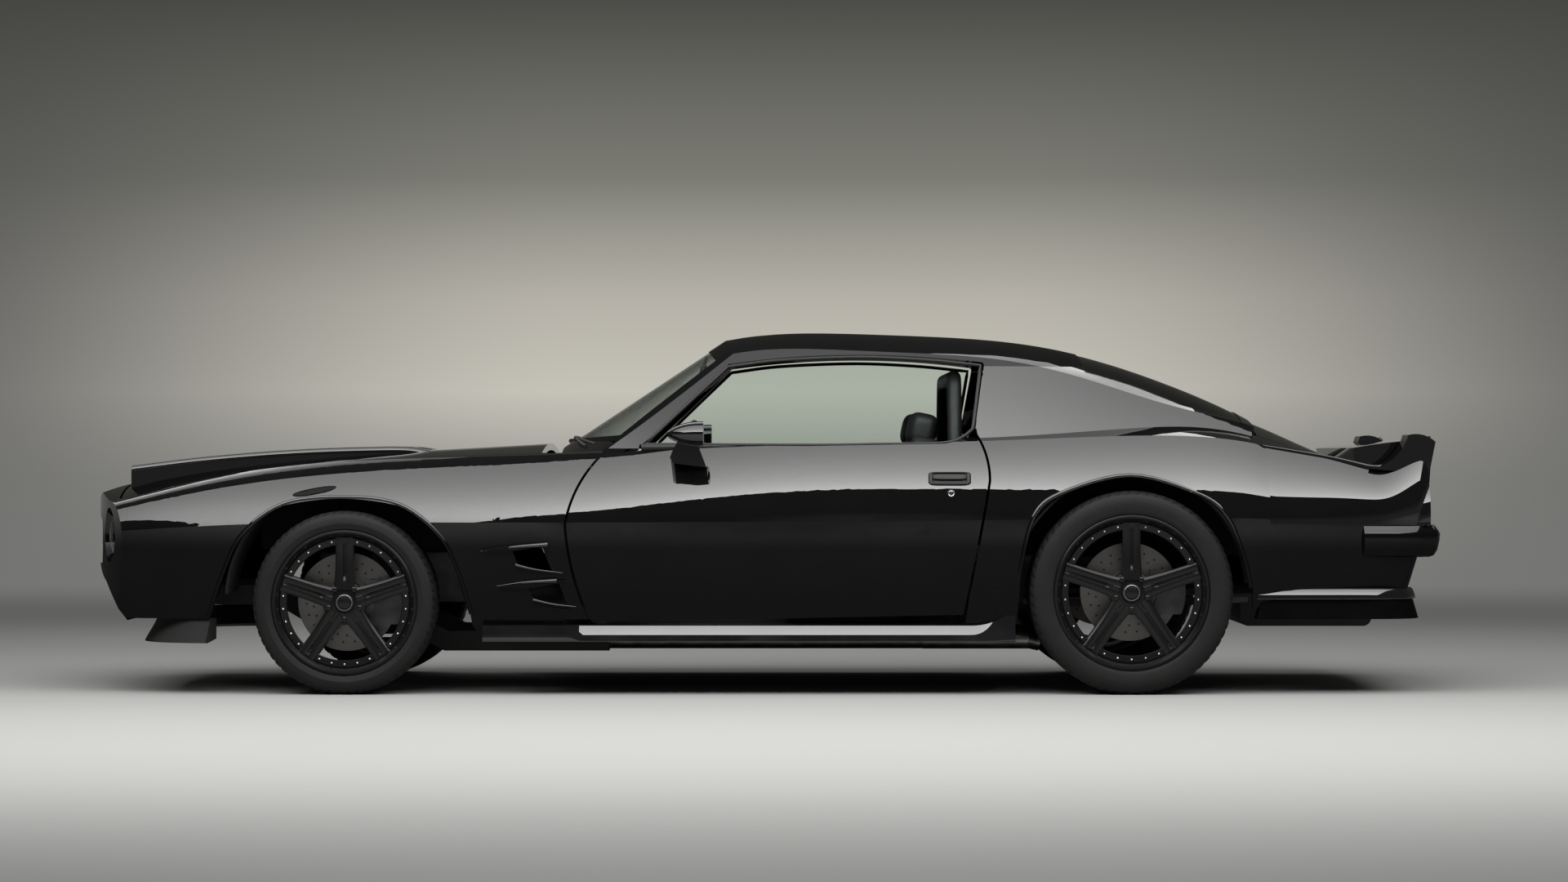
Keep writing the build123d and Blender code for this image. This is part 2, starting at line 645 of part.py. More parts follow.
# Door glass
door_glass = (glass_shell & left_half) & side_prism(glass_face, -1000, 0)
for name, solid in zip(("left", "right"), both_sides(door_glass)):
    save(f"door_glass_{name}", solid)

# Door mirrors: a bullet on a foot
MIRROR_Y = -948.0
MIRROR_Z = 908.0
heads = [
    # x, half width, half height
    (-338, 22, 12),
    (-300, 58, 32),
    (-215, 72, 43),
]
head = loft([Plane(origin=(x, MIRROR_Y, MIRROR_Z), x_dir=(0, 1, 0), z_dir=(1, 0, 0)) * Ellipse(a, b) for x, a, b in heads])
head -= Pos(-215, MIRROR_Y, MIRROR_Z) * (Rot(0, 90, 0) * Cylinder(36, 16))
foot_face = polygon((-332, 826), (-322, 852), (-300, 890), (-245, 890), (-226, 848), (-205, 792), (-320, 806))
foot = side_prism(foot_face, -930, -780) - body_clear - side_prism(polygon((-400, 866), (0, 866), (0, 1000), (-400, 1000)),
                                                                 -840, -700)
mirror_left = head + foot
for name, solid in zip(("left", "right"), both_sides(mirror_left)):
    save(f"mirror_{name}", solid)

# Floor pan: floor, firewall, posts, tunnel, sills, rear floor and door hinge pins
floor = side_prism(ribbon([(-712, 770 - SEAT_GAP), (-712, 300), (-560, 205), (870, 205)], 12.0), -POST_OUTER_Y, POST_OUTER_Y)
floor += side_prism(ribbon([(862, 205), (960, 470), (1560, 470), (1640, 330), (2222, 330)], 12.0), -560, 560)
tunnel = loop((-150, 205), ((-120, 400),), ((0, 440), (120, 400)), ((150, 205),))
floor -= front_prism(offset(tunnel, -10), -720, 960)
floor += front_prism(tunnel - offset(tunnel, -10) - polygon((-138, 190), (138, 190), (138, 216), (-138, 216)), -710, 862)
for sign in (-1, 1):
    y_near, y_far = sorted((sign * 655, sign * POST_OUTER_Y))
    floor += block(-712, -655, y_near, y_far, 210, 765)
    y_near, y_far = sorted((sign * 700, sign * (862 - SEAT_GAP)))
    floor += block(-700, 862, y_near, y_far, 195, 240)
    for hinge_z in DOOR_HINGE_Z:
        leaf = plan_prism(polygon((-705, sign * (POST_OUTER_Y - 5)), (-660, sign * (POST_OUTER_Y - 5)),
                                  (DOOR_HINGE_X + 9, sign * (DOOR_HINGE_Y - 6)), (DOOR_HINGE_X + 1, sign * (DOOR_HINGE_Y + 7)),
                                  (DOOR_HINGE_X - 6, sign * (DOOR_HINGE_Y + 3)),
                                  (DOOR_HINGE_X - 51, sign * (DOOR_HINGE_Y - 92))), hinge_z - 6, hinge_z + 6)
        floor += leaf
        reach = DOOR_POCKET_H / 2 + 16
        floor += rod((DOOR_HINGE_X, sign * DOOR_HINGE_Y, hinge_z - reach), (DOOR_HINGE_X, sign * DOOR_HINGE_Y, hinge_z + reach),
                     DOOR_PIN_R)
save("floor_pan", floor)

# Wheelhouse liners
liners = []
for axle_x, axle_z, radius, y_inner in ((FRONT_AXLE_X, 320.0, 424.0, 500.0), (REAR_AXLE_X, 355.0, 420.0, 572.0)):
    ring = Plane.XZ.offset(y_inner) * (Pos(axle_x, axle_z) * (Circle(radius) - Circle(radius - 8)))
    arch = extrude(ring, 400)
    if axle_x > 0:
        arch += extrude(Plane.XZ.offset(y_inner) * (Pos(axle_x, axle_z) * Circle(radius)), 8)
        arch -= block(900, 1700, -700, -400, 200, 480)
    arch &= block(axle_x - 600, axle_x + 600, -1000, 0, axle_z + 30, 900)
    arch &= body_lining
    liners += both_sides(sorted(arch.solids(), key=lambda s: s.volume)[-1])
save("wheel_liners", *liners)

# Interior
FLOOR_Z = 217.0 + SEAT_GAP
dash_face = loop((-662, 560), ((-540, 560),), ((-420, 630),), ((-385, 710), (-420, 790)), ((-634, 770 - SEAT_GAP),),
                 ((-662, 770 - SEAT_GAP),))
dash = side_prism(dash_face, -650, 650)
axis_dir = (cos(radians(STEER_TILT)), 0, sin(radians(STEER_TILT)))
cx, cy, cz = STEER_CENTRE
column_end = (cx - 30 * axis_dir[0], cy, cz - 30 * axis_dir[2])
column_start = (cx - 260 * axis_dir[0], cy, cz - 260 * axis_dir[2])
dash += rod(column_start, column_end, 26)
dash += rod(column_end, (cx + 4 * axis_dir[0], cy, cz + 4 * axis_dir[2]), 10)
save("dashboard", dash)

hub_plane = Plane(origin=STEER_CENTRE, z_dir=axis_dir)
wheel = Location(hub_plane) * Torus(STEER_R, 14)
wheel += extrude(hub_plane.offset(-24) * Circle(38), 36)
for k in range(3):
    turn = 90 + 120 * k
    spoke = Rot(0, 0, turn) * (Pos(104, 0, 0) * Box(150, 34, 8))
    wheel += Location(hub_plane) * spoke
wheel -= rod((cx - 40 * axis_dir[0], cy, cz - 40 * axis_dir[2]), (cx + 5 * axis_dir[0], cy, cz + 5 * axis_dir[2]), 10 + PIN_FIT)
save("steering_wheel", wheel)

SEAT_Y = 380.0
seat_profile = loop(
    (30, FLOOR_Z), ((20, 400),), ((60, 470), (140, 478)), ((470, 440),), ((560, 950),), ((590, 988), (640, 960)),
    ((600, 420),), ((560, FLOOR_Z),),
)
seats = []
for sign in (-1, 1):
    seats.append(side_prism(seat_profile, sign * SEAT_Y - 225, sign * SEAT_Y + 225))
save("front_seats", *seats)
bench_profile = polygon((735, FLOOR_Z), (718, 430), (745, 470), (940, 490), (1085, 858), (1120, 872), (1148, 846),
                        (1060, 486), (938, 486), (850, 262), (836, FLOOR_Z))
bench = side_prism(bench_profile, -545, 545) - front_prism(offset(tunnel, 1), 600, 962)
save("rear_seat", bench)

HOOP_X = 600.0
hoop_path = Plane(origin=(HOOP_X + 70, 0, 0), x_dir=(0, 1, 0), z_dir=(1, 0, 0)) * (
    FilletPolyline((-640, FLOOR_Z), (-640, 880), (-540, 1110), (540, 1110), (640, 880), (640, FLOOR_Z), radius=70))
hoop = sweep(Plane(origin=(HOOP_X + 70, -640, FLOOR_Z), z_dir=(0, 0, 1)) * Circle(26), path=hoop_path)
save("roll_hoop", hoop)

# Engine with gearbox, one plain block
engine_face = polygon((-150, 300), (150, 300), (180, 480), (330, 610), (250, 720), (-250, 720), (-330, 610), (-180, 480))
engine = front_prism(engine_face, -1620, -1010)
engine += front_prism(loop((-95, 240), ((-85, 350), (0, 372)), ((85, 350), (95, 240))), -1010, -200)
save("engine", engine)

# Front subframe: rails, crossmember and arms with kingpins
frame = None
for sign in (-1, 1):
    y_near, y_far = sorted((sign * 380, sign * 450))
    rail = side_prism(ribbon([(-2190, 300), (-1750, 300), (-1600, 210), (-1300, 210), (-1150, 134.7), (-560, 134.7)], 70.0), y_near, y_far)
    frame = rail if frame is None else frame + rail
    for z_low, z_high, run in ((162, 182, 130), (458, 474, 60)):
        arm = plan_prism(polygon((FRONT_AXLE_X - run, sign * 400), (FRONT_AXLE_X + run, sign * 400),
                                 (FRONT_AXLE_X + 24, sign * (KINGPIN_Y + 20)), (FRONT_AXLE_X - 24, sign * (KINGPIN_Y + 20))), z_low, z_high)
        frame += arm
    y_near, y_far = sorted((sign * 385, sign * 440))
    frame += block(FRONT_AXLE_X - 60, FRONT_AXLE_X + 60, y_near, y_far, 175, 500)
    frame += rod((FRONT_AXLE_X, sign * KINGPIN_Y, 180), (FRONT_AXLE_X, sign * KINGPIN_Y, 226), KINGPIN_R)
    frame += rod((FRONT_AXLE_X, sign * KINGPIN_Y, 460), (FRONT_AXLE_X, sign * KINGPIN_Y, 424), KINGPIN_R)
frame += block(FRONT_AXLE_X - 70, FRONT_AXLE_X + 70, -450, 450, 215, 280)
frame += block(-2190, -2130, -450, 450, 300, 370)
save("subframe", frame)


def caliper(side, axle_x, axle_z):
    """Brake block behind the hub, slotted for the disc."""
    y_near, y_far = sorted((side * (DISC_Y - 62), side * (DISC_Y + 42)))
    ring = Pos(axle_x, axle_z) * (Circle(DISC_R + 24) - Circle(96))
    piece = side_prism(ring, y_near, y_far) & block(axle_x + 70, axle_x + 300, -1000, 1000, axle_z - 78, axle_z + 78)
    y_near, y_far = sorted((side * (DISC_Y - DISC_THICK / 2 - 6), side * (DISC_Y + DISC_THICK / 2 + 6)))
    slot = side_prism(Pos(axle_x, axle_z) * Circle(DISC_R + 6), y_near, y_far)
    return piece - slot


# Knuckles with spindles and brake blocks
for name, axle_x, side, axle_z, half, centre_y, lip in WHEELS[:2]:
    y_near, y_far = sorted((side * 674, side * 738))
    knuckle = block(axle_x - 34, axle_x + 34, y_near, y_far, 190, 450)
    knuckle += block(axle_x, axle_x + 110, *sorted((side * 712, side * 738)), axle_z - 60, axle_z + 60)
    knuckle -= rod((axle_x, side * KINGPIN_Y, 180), (axle_x, side * KINGPIN_Y, 232), KINGPIN_R + PIN_FIT)
    knuckle -= rod((axle_x, side * KINGPIN_Y, 470), (axle_x, side * KINGPIN_Y, 418), KINGPIN_R + PIN_FIT)
    knuckle += rod((axle_x, side * 730, axle_z), (axle_x, side * 862, axle_z), SPINDLE_R)
    knuckle += caliper(side, axle_x, axle_z)
    save("knuckle_left" if side < 0 else "knuckle_right", knuckle)

# Rear axle with springs, propeller shaft and brake blocks
axle_z = 355.0
axle = rod((REAR_AXLE_X, -862, axle_z), (REAR_AXLE_X, 862, axle_z), SPINDLE_R)
axle += rod((REAR_AXLE_X, -736, axle_z), (REAR_AXLE_X, 736, axle_z), 42)
axle += Pos(REAR_AXLE_X, 0, axle_z) * Sphere(105)
axle += rod((REAR_AXLE_X - 100, 0, axle_z - 10), (-199, 0, 312), 32)
for sign in (-1, 1):
    axle += block(REAR_AXLE_X, REAR_AXLE_X + 110, *sorted((sign * 712, sign * 738)), axle_z - 40, axle_z + 40)
    axle += caliper(sign, REAR_AXLE_X, axle_z)
    spring = loop((REAR_AXLE_X - 360, 306), ((REAR_AXLE_X, 296), (REAR_AXLE_X + 440, 312)),
                  ((REAR_AXLE_X + 440, 330),), ((REAR_AXLE_X, 324), (REAR_AXLE_X - 360, 324)))
    axle += side_prism(spring, *sorted((sign * 490, sign * 548)))
save("rear_axle", axle)

# Exhaust: two pipes, each with a long silencer
pipes = []
for sign in (-1, 1):
    bends = [(-1000, sign * 330, 460), (-950, sign * 330, 240), (-720, sign * 330, 166), (560, sign * 330, 166)]
    pipe = rod(bends[0], bends[1], 28)
    for a, b in zip(bends[1:], bends[2:]):
        pipe += Pos(*a) * Sphere(28.5)
        pipe += rod(a, b, 28)
    pipe += front_prism(Pos(sign * 350, 172.7) * RectangleRounded(200, 64, 30), 560, 940)
    pipe += rod((930, sign * 350, 172), (985, sign * 350, 160), 30)
    pipes.append(pipe)
save("exhaust", *pipes)

tank = fillet(block(1700, 2170, -420, 420, 222, 330 - SEAT_GAP).edges().filter_by(Axis.Y), 30)
save("fuel_tank", tank)


def tyre_solid(radius, half, bead):
    """Tyre turned about Y, centred on the origin."""
    lip = bead + RIM_LIP
    face = loop(
        (bead, -half + 22), ((lip, -half + 17),), ((lip, -half + 7),),
        ((radius - 45, -half), (radius - 14, -half + 12)), ((radius, -half + 34),), ((radius, half - 34),),
        ((radius - 14, half - 12),), ((radius - 45, half), (lip, half - 7)), ((lip, half - 17),), ((bead, half - 22),),
    )
    return revolve(Plane.XY * face, axis=Axis.Y)


def rim_solid(lip, half):
    """Rim turned about Y with five ribbed spokes; its face looks to -Y."""
    seat = lip - RIM_LIP
    face = loop(
        (seat, -half + 21), ((lip, -half + 16),), ((lip, -half + 3),), ((lip - 12, -half + 3),), ((seat - 12, -half + 40),),
        ((seat - 12, half - 40),), ((lip - 12, half - 3),), ((lip, half - 3),), ((lip, half - 16),), ((seat, half - 21),),
    )
    rim = revolve(Plane.XY * face, axis=Axis.Y)
    face_y = -half + 26
    ring = Plane.XZ.offset(-face_y) * (Circle(seat - 8) - Circle(seat - 34))
    rim += extrude(ring, -14)
    hub = Plane.XZ.offset(-face_y) * Circle(74)
    rim += extrude(hub, -46)
    for k in range(SPOKES):
        arm = polygon((-36, 40), (36, 40), (30, seat - 12), (-30, seat - 12))
        groove = polygon((-5, 78), (5, 78), (4, seat - 38), (-4, seat - 38))
        spoke = extrude(Plane.XZ.offset(-face_y + 8) * arm, -36)
        spoke -= extrude(Plane.XZ.offset(-face_y + 8) * groove, -16)
        rim += Rot(0, 360.0 / SPOKES * k, 0) * spoke
    cap = loop((0, face_y), ((0, face_y - 16),), ((20, face_y - 14), (32, face_y)))
    rim += revolve(Plane.XY * cap, axis=Axis.Y)
    return rim


# Wheels: tyre, rim and disc, each a sub-part of its own
for name, axle_x, side, axle_z, half, centre_y, lip in WHEELS:
    place = Pos(axle_x, side * centre_y, axle_z)
    tyre = tyre_solid(axle_z, half, lip - RIM_LIP + SEAT_GAP)
    rim = rim_solid(lip, half)
    disc_y = -(DISC_Y - centre_y)
    disc = extrude(Plane.XZ.offset(-(disc_y - DISC_THICK / 2)) * (Circle(DISC_R) - Circle(SPINDLE_R + PIN_FIT)), -DISC_THICK)
    hat_from = disc_y - DISC_THICK / 2
    hat_to = -half + 26 + 46 + SEAT_GAP
    disc += extrude(Plane.XZ.offset(-hat_to) * (Circle(80) - Circle(SPINDLE_R + PIN_FIT)), -(hat_from - hat_to))
    bore_end = -(862 + 6 - centre_y)
    rim -= extrude(Plane.XZ.offset(-bore_end) * Circle(SPINDLE_R + PIN_FIT), -300)
    if side > 0:
        rim = mirror(rim, about=Plane.XZ)
        disc = mirror(disc, about=Plane.XZ)
    save(f"tyre_{name}", place * tyre)
    save(f"rim_{name}", place * rim)
    save(f"disc_{name}", place * disc)
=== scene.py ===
"""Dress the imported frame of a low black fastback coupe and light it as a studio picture.

Lengths are in metres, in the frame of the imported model: +X runs from nose to tail, +Y to the car's right and
+Z up, with the origin on the ground under the middle of the car.
"""

import json
import logging
import math
from collections.abc import Mapping, Sequence
from dataclasses import dataclass, field
from enum import Enum
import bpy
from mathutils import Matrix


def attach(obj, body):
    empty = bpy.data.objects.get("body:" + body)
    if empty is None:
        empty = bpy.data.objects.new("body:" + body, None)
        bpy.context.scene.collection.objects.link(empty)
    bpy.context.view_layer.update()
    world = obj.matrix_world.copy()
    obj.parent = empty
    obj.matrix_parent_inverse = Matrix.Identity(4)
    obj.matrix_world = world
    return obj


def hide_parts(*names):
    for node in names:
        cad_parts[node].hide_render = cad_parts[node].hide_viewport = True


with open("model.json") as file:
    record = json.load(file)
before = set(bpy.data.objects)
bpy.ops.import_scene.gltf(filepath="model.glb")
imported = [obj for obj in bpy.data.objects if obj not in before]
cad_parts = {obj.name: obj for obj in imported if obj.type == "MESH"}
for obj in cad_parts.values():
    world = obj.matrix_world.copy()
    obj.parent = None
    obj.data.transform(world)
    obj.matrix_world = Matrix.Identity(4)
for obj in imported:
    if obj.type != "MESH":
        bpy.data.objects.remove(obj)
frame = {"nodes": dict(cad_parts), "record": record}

from types import MappingProxyType
from typing import Any

import bmesh
import bpy
import numpy as np
from mathutils import Vector

log = logging.getLogger("coupe")
Colour = tuple[float, float, float]
Point = tuple[float, float, float]
Pair = tuple[float, float]
EMPTY: Mapping[Any, Any] = MappingProxyType({})
WHITE = (1.0, 1.0, 1.0, 1.0)


class Slot(Enum):
    """The record's material slots."""

    PAINT = "paint"
    GLASS = "glass"
    LAMP_GLASS = "lamp_glass"
    TAIL_LENS = "tail_lens"
    TRIM = "trim"
    GRILLE = "grille"
    TYRE = "tyre"
    RIM = "rim"
    DISC = "disc"
    CHASSIS = "chassis"
    CAST = "cast"
    EXHAUST = "exhaust"
    SEAT = "seat"
    DASH = "dash"


class Value:
    """A number on its way through a node tree; its operators add Math nodes."""

    def __init__(self, board: "Board", socket: bpy.types.NodeSocket) -> None:
        """Wrap one output socket of a board's tree."""
        self.board = board
        self.socket = socket

    def math(self, operation: str, *others: Any) -> "Value":
        """Add one Math node.

        Args:
            operation: Math node operation, such as "MULTIPLY".
            others: further operands, numbers or values.

        Returns:
            The node's result.
        """
        inputs = dict(enumerate((self, *others)))
        return self.board.value("ShaderNodeMath", {"operation": operation}, inputs)

    def __add__(self, other: Any) -> "Value":
        """Sum."""
        return self.math("ADD", other)

    __radd__ = __add__

    def __sub__(self, other: Any) -> "Value":
        """Difference."""
        return self.math("SUBTRACT", other)

    def __rsub__(self, other: Any) -> "Value":
        """Difference with the other operand first."""
        return self.board.value("ShaderNodeMath", {"operation": "SUBTRACT"}, {0: other, 1: self})

    def __mul__(self, other: Any) -> "Value":
        """Product."""
        return self.math("MULTIPLY", other)

    __rmul__ = __mul__

    def __truediv__(self, other: Any) -> "Value":
        """Quotient."""
        return self.math("DIVIDE", other)

    def __abs__(self) -> "Value":
        """Size without sign."""
        return self.math("ABSOLUTE")

    def between(self, low: float, high: float) -> "Value":
        """Rise smoothly from 0 at low to 1 at high, or fall where low is above high."""
        settings = {"interpolation_type": "SMOOTHSTEP"}
        return self.board.value("ShaderNodeMapRange", settings, {0: self, 1: low, 2: high})

    def zigzag(self, per_metre: float) -> "Value":
        """Straight falls and rises between 1 and 0, so many of each in a metre."""
        return abs((self * per_metre).math("FRACT") - 0.5) * 2.0


class Board:
    """The node tree of one material, of a lamp or of the world."""

    def __init__(self, tree: bpy.types.NodeTree) -> None:
        """Start from an empty tree."""
        tree.nodes.clear()
        self.tree = tree

    def node(
        self, kind: str, settings: Mapping[str, Any] = EMPTY, inputs: Mapping[Any, Any] = EMPTY,
    ) -> bpy.types.Node:
        """Add one node.

        Args:
            kind: node type.
            settings: attributes set first; "stops" fills a colour ramp with (place, colour) pairs.
            inputs: socket name or number against a value or a link.

        Returns:
            The node.
        """
        made = self.tree.nodes.new(kind)
        for key, setting in settings.items():
            if key == "stops":
                self._fill_ramp(made.color_ramp, setting)
            else:
                setattr(made, key, setting)
        for key, given in inputs.items():
            source = given.socket if isinstance(given, Value) else given
            if isinstance(source, bpy.types.NodeSocket):
                self.tree.links.new(source, made.inputs[key])
            else:
                made.inputs[key].default_value = source
        return made

    @staticmethod
    def _fill_ramp(ramp: bpy.types.ColorRamp, stops: Sequence[tuple[float, Colour]]) -> None:
        """Set a colour ramp's stops.

        Args:
            ramp: the ramp, with fewer stops than are given or as many.
            stops: (place, colour) pairs in order.
        """
        while len(ramp.elements) < len(stops):
            ramp.elements.new(1.0)
        for element, (place, colour) in zip(ramp.elements, stops):
            element.position = place
            element.color = (*colour, 1.0)

    def value(
        self, kind: str, settings: Mapping[str, Any] = EMPTY, inputs: Mapping[Any, Any] = EMPTY,
    ) -> Value:
        """Add one node and wrap its first output."""
        return Value(self, self.node(kind, settings, inputs).outputs[0])

    def place(self) -> bpy.types.NodeSocket:
        """Object coordinates, which are the row frame."""
        return self.node("ShaderNodeTexCoord").outputs["Object"]

    def split(self, vector: bpy.types.NodeSocket) -> tuple[Value, Value, Value]:
        """The three parts of a vector."""
        made = self.node("ShaderNodeSeparateXYZ", {}, {0: vector})
        return tuple(Value(self, out) for out in made.outputs)

    def from_axle(self, axle: Pair) -> tuple[Value, Value, Value]:
        """Measure from a line across the car.

        Args:
            axle: the line's place along the car and its height.

        Returns:
            Offsets along the car and upwards, and the distance from the line.
        """
        x, _, z = self.split(self.place())
        along, up = x - axle[0], z - axle[1]
        return along, up, (along * along + up * up).math("SQRT")

    def noise(
        self, scale: float, detail: float = 3.0, roughness: float = 0.55, stretch: Point = (1.0, 1.0, 1.0),
    ) -> Value:
        """Cloudy pattern from 0 to 1.

        Args:
            scale: features per metre.
            detail: octaves.
            roughness: weight of the fine octaves.
            stretch: factor on each coordinate.

        Returns:
            The pattern's value.
        """
        spot = self.node("ShaderNodeMapping", {}, {"Vector": self.place(), "Scale": stretch}).outputs[0]
        inputs = {"Vector": spot, "Scale": scale, "Detail": detail, "Roughness": roughness}
        return self.value("ShaderNodeTexNoise", {}, inputs)

    def blend(self, factor: Value, low: Any, high: Any) -> bpy.types.NodeSocket:
        """Colour between two colours.

        Args:
            factor: 0 for the first colour, 1 for the second.
            low: first colour or link.
            high: second colour or link.

        Returns:
            The blended colour.
        """
        ends = [(*c, 1.0) if isinstance(c, tuple) else c for c in (low, high)]
        made = self.node("ShaderNodeMix", {"data_type": "RGBA"}, {0: factor, 6: ends[0], 7: ends[1]})
        return made.outputs[2]

    def bump(self, height: Value, distance: float, strength: float = 1.0) -> bpy.types.NodeSocket:
        """Normal tilted by a height of at most the given distance."""
        inputs = {"Height": height, "Distance": distance, "Strength": strength}
        return self.node("ShaderNodeBump", {}, inputs).outputs["Normal"]

    def mixed(self, factor: Value, first: bpy.types.Node, second: bpy.types.Node) -> bpy.types.Node:
        """Shader between two shaders."""
        return self.node("ShaderNodeMixShader", {}, {0: factor, 1: first.outputs[0], 2: second.outputs[0]})

    def end(self, shader: bpy.types.Node, kind: str = "Material") -> None:
        """End the tree in a shader, as a material, a lamp or the world."""
        self.node(f"ShaderNodeOutput{kind}", {}, {0: shader.outputs[0]})


def shaded(colour: Colour, factor: float, lift: float = 0.0) -> Colour:
    """A colour made lighter or darker by a factor and a lift."""
    return tuple(c * factor + lift for c in colour)


@dataclass(frozen=True)
class Finish:
    """A surface finish; each kind says how its colour, gloss and relief vary."""

    name: str
    colour: Colour

    def inputs(self, board: Board) -> dict[str, Any]:
        """Shader inputs of this finish.

        Args:
            board: the tree that the inputs' nodes go into.

        Returns:
            Principled socket names against values and links.
        """
        raise NotImplementedError

    def wire(self, board: Board) -> None:
        """Fill a tree that ends in a Principled shader with this finish's inputs."""
        board.end(board.node("ShaderNodeBsdfPrincipled", {}, self.inputs(board)))

    def material(self) -> bpy.types.Material:
        """The finish as a material, made once.

        Returns:
            The material of this finish's name.
        """
        found = bpy.data.materials.get(self.name)
        if found is None:
            found = bpy.data.materials.new(self.name)
            found.use_nodes = True
            self.wire(Board(found.node_tree))
        return found


@dataclass(frozen=True)
class GlossPaint(Finish):
    """Deep gloss coat over a dark colour, thinner below the waist, with orange peel and dust low down."""

    dust: Colour = (0.05, 0.047, 0.043)
    dust_most: float = 0.25
    dust_heights: Pair = (0.30, 0.12)
    base_gloss: float = 0.22
    coat: float = 1.0
    foot_coat: float = 0.12
    waist_heights: Pair = (0.50, 0.66)
    coat_gloss: float = 0.015
    coat_index: float = 1.7
    peel_scale: float = 420.0
    peel_depth: float = 0.00002

    def inputs(self, board: Board) -> dict[str, Any]:
        """Dark base, clear coat, dust below the sills."""
        height = board.split(board.place())[2]
        cloud = board.noise(7.0)
        low_dust = height.between(*self.dust_heights) * cloud.between(0.4, 0.8) * self.dust_most
        clean = board.blend(cloud, self.colour, shaded(self.colour, 1.5, 0.001))
        coat_share = height.between(*self.waist_heights) * (1.0 - self.foot_coat) + self.foot_coat
        return {
            "Base Color": board.blend(low_dust, clean, self.dust),
            "Roughness": self.base_gloss + low_dust * 0.5,
            "Specular IOR Level": 0.0,
            "Coat Weight": coat_share * (self.coat - low_dust * 0.6),
            "Coat Roughness": self.coat_gloss,
            "Coat IOR": self.coat_index,
            "Normal": board.bump(board.noise(self.peel_scale, 1.0), self.peel_depth, 0.25),
        }


@dataclass(frozen=True)
class ClearGlass(Finish):
    """Clear or tinted pane whose gloss varies with a faint film."""

    mirror_from: Pair = (0.48, 0.60)
    mirror_most: float = 0.8
    mirror_power: float = 5.0
    gloss: float = 0.04
    film_gloss: float = 0.02
    film_stretch: Point = (1.0, 1.0, 3.0)

    def wire(self, board: Board) -> None:
        """Thin pane: clear straight through, mirror-like towards a glancing view."""
        film = board.noise(5.0, 4.0, 0.6, self.film_stretch)
        facing = Value(board, board.node("ShaderNodeLayerWeight").outputs["Facing"])
        share = facing.between(*self.mirror_from) * facing.math("POWER", self.mirror_power) * self.mirror_most
        clear = board.node("ShaderNodeBsdfTransparent", {}, {"Color": (*self.colour, 1.0)})
        roughness = self.gloss + film * self.film_gloss
        mirror = board.node("ShaderNodeBsdfGlossy", {}, {"Color": WHITE, "Roughness": roughness})
        board.end(board.mixed(share, clear, mirror))


@dataclass(frozen=True)
class Lens(Finish):
    """Moulded coloured lens with ribs behind a glossy face, with painted shade in the hollows between the
    ribs.
    """

    ribs_per_metre: float = 60.0

    def inputs(self, board: Board) -> dict[str, Any]:
        """Coloured body with upright ribs, darker in the hollows between the ribs as painted shade."""
        rib_and_shade = board.split(board.place())[1].zigzag(self.ribs_per_metre)
        return {
            # Painted shade: the colour drops to 35 per cent where the ribs' relief is low.
            "Base Color": board.blend(rib_and_shade.between(0.1, 0.7), shaded(self.colour, 0.35), self.colour),
            "Roughness": 0.12 + board.noise(30.0) * 0.06,
            "Coat Weight": 1.0,
            "Coat Roughness": 0.02,
            "Normal": board.bump(rib_and_shade, 0.002, 0.4),
        }


@dataclass(frozen=True)
class Moulding(Finish):
    """Fine-grained moulded plastic or satin paint."""

    grain: float = 900.0
    depth: float = 0.00012
    gloss: float = 0.45
    shine: float = 0.3

    def inputs(self, board: Board) -> dict[str, Any]:
        """Grain in relief and gloss, with slow shade changes."""
        grain = board.noise(self.grain, 2.0)
        cloud = board.noise(9.0)
        light = shaded(self.colour, 1.45, 0.002)
        return {
            "Base Color": board.blend(cloud * 0.7 + grain * 0.3, self.colour, light),
            "Roughness": self.gloss + (grain - 0.5) * 0.12 + (cloud - 0.5) * 0.08,
            "Specular IOR Level": self.shine,
            "Normal": board.bump(grain, self.depth, 0.5),
        }


@dataclass(frozen=True)
class Rubber(Finish):
    """Tyre rubber: charcoal, matt, with moulded rings on the side wall."""

    axle: Pair = (0.0, 0.3)
    rings_from: float = 0.26
    rings_to: float = 0.30
    rings_fade: float = 0.004
    rings_per_metre: float = 190.0

    def inputs(self, board: Board) -> dict[str, Any]:
        """Side-wall rings measured from the axle, dust in the grain."""
        _, _, radius = board.from_axle(self.axle)
        ring = radius.zigzag(self.rings_per_metre)
        starts = radius.between(self.rings_from - self.rings_fade, self.rings_from)
        ends = radius.between(self.rings_to + self.rings_fade, self.rings_to)
        grain = board.noise(650.0, 3.0)
        cloud = board.noise(16.0)
        light = shaded(self.colour, 1.8, 0.004)
        return {
            "Base Color": board.blend(cloud * 0.6 + grain * 0.4, self.colour, light),
            "Specular IOR Level": 0.2,
            "Roughness": 0.62 + (grain - 0.5) * 0.16,
            "Normal": board.bump(ring * (starts * ends) * 0.7 + grain * 0.18, 0.0009, 0.6),
        }


@dataclass(frozen=True)
class Metal(Finish):
    """Bare or cast metal with turned or cast grain."""

    gloss: float = 0.3
    grain: float = 120.0
    stretch: Point = (1.0, 1.0, 1.0)
    relief: float = 0.0001

    def inputs(self, board: Board) -> dict[str, Any]:
        """Metal whose grain shows in gloss and relief."""
        grain = board.noise(self.grain, 4.0, 0.6, self.stretch)
        stain = board.noise(14.0)
        return {
            "Base Color": board.blend(stain.between(0.25, 0.75), shaded(self.colour, 0.62), self.colour),
            "Metallic": 1.0,
            "Roughness": self.gloss + (grain - 0.5) * 0.2,
            "Normal": board.bump(grain, self.relief, 0.5),
        }


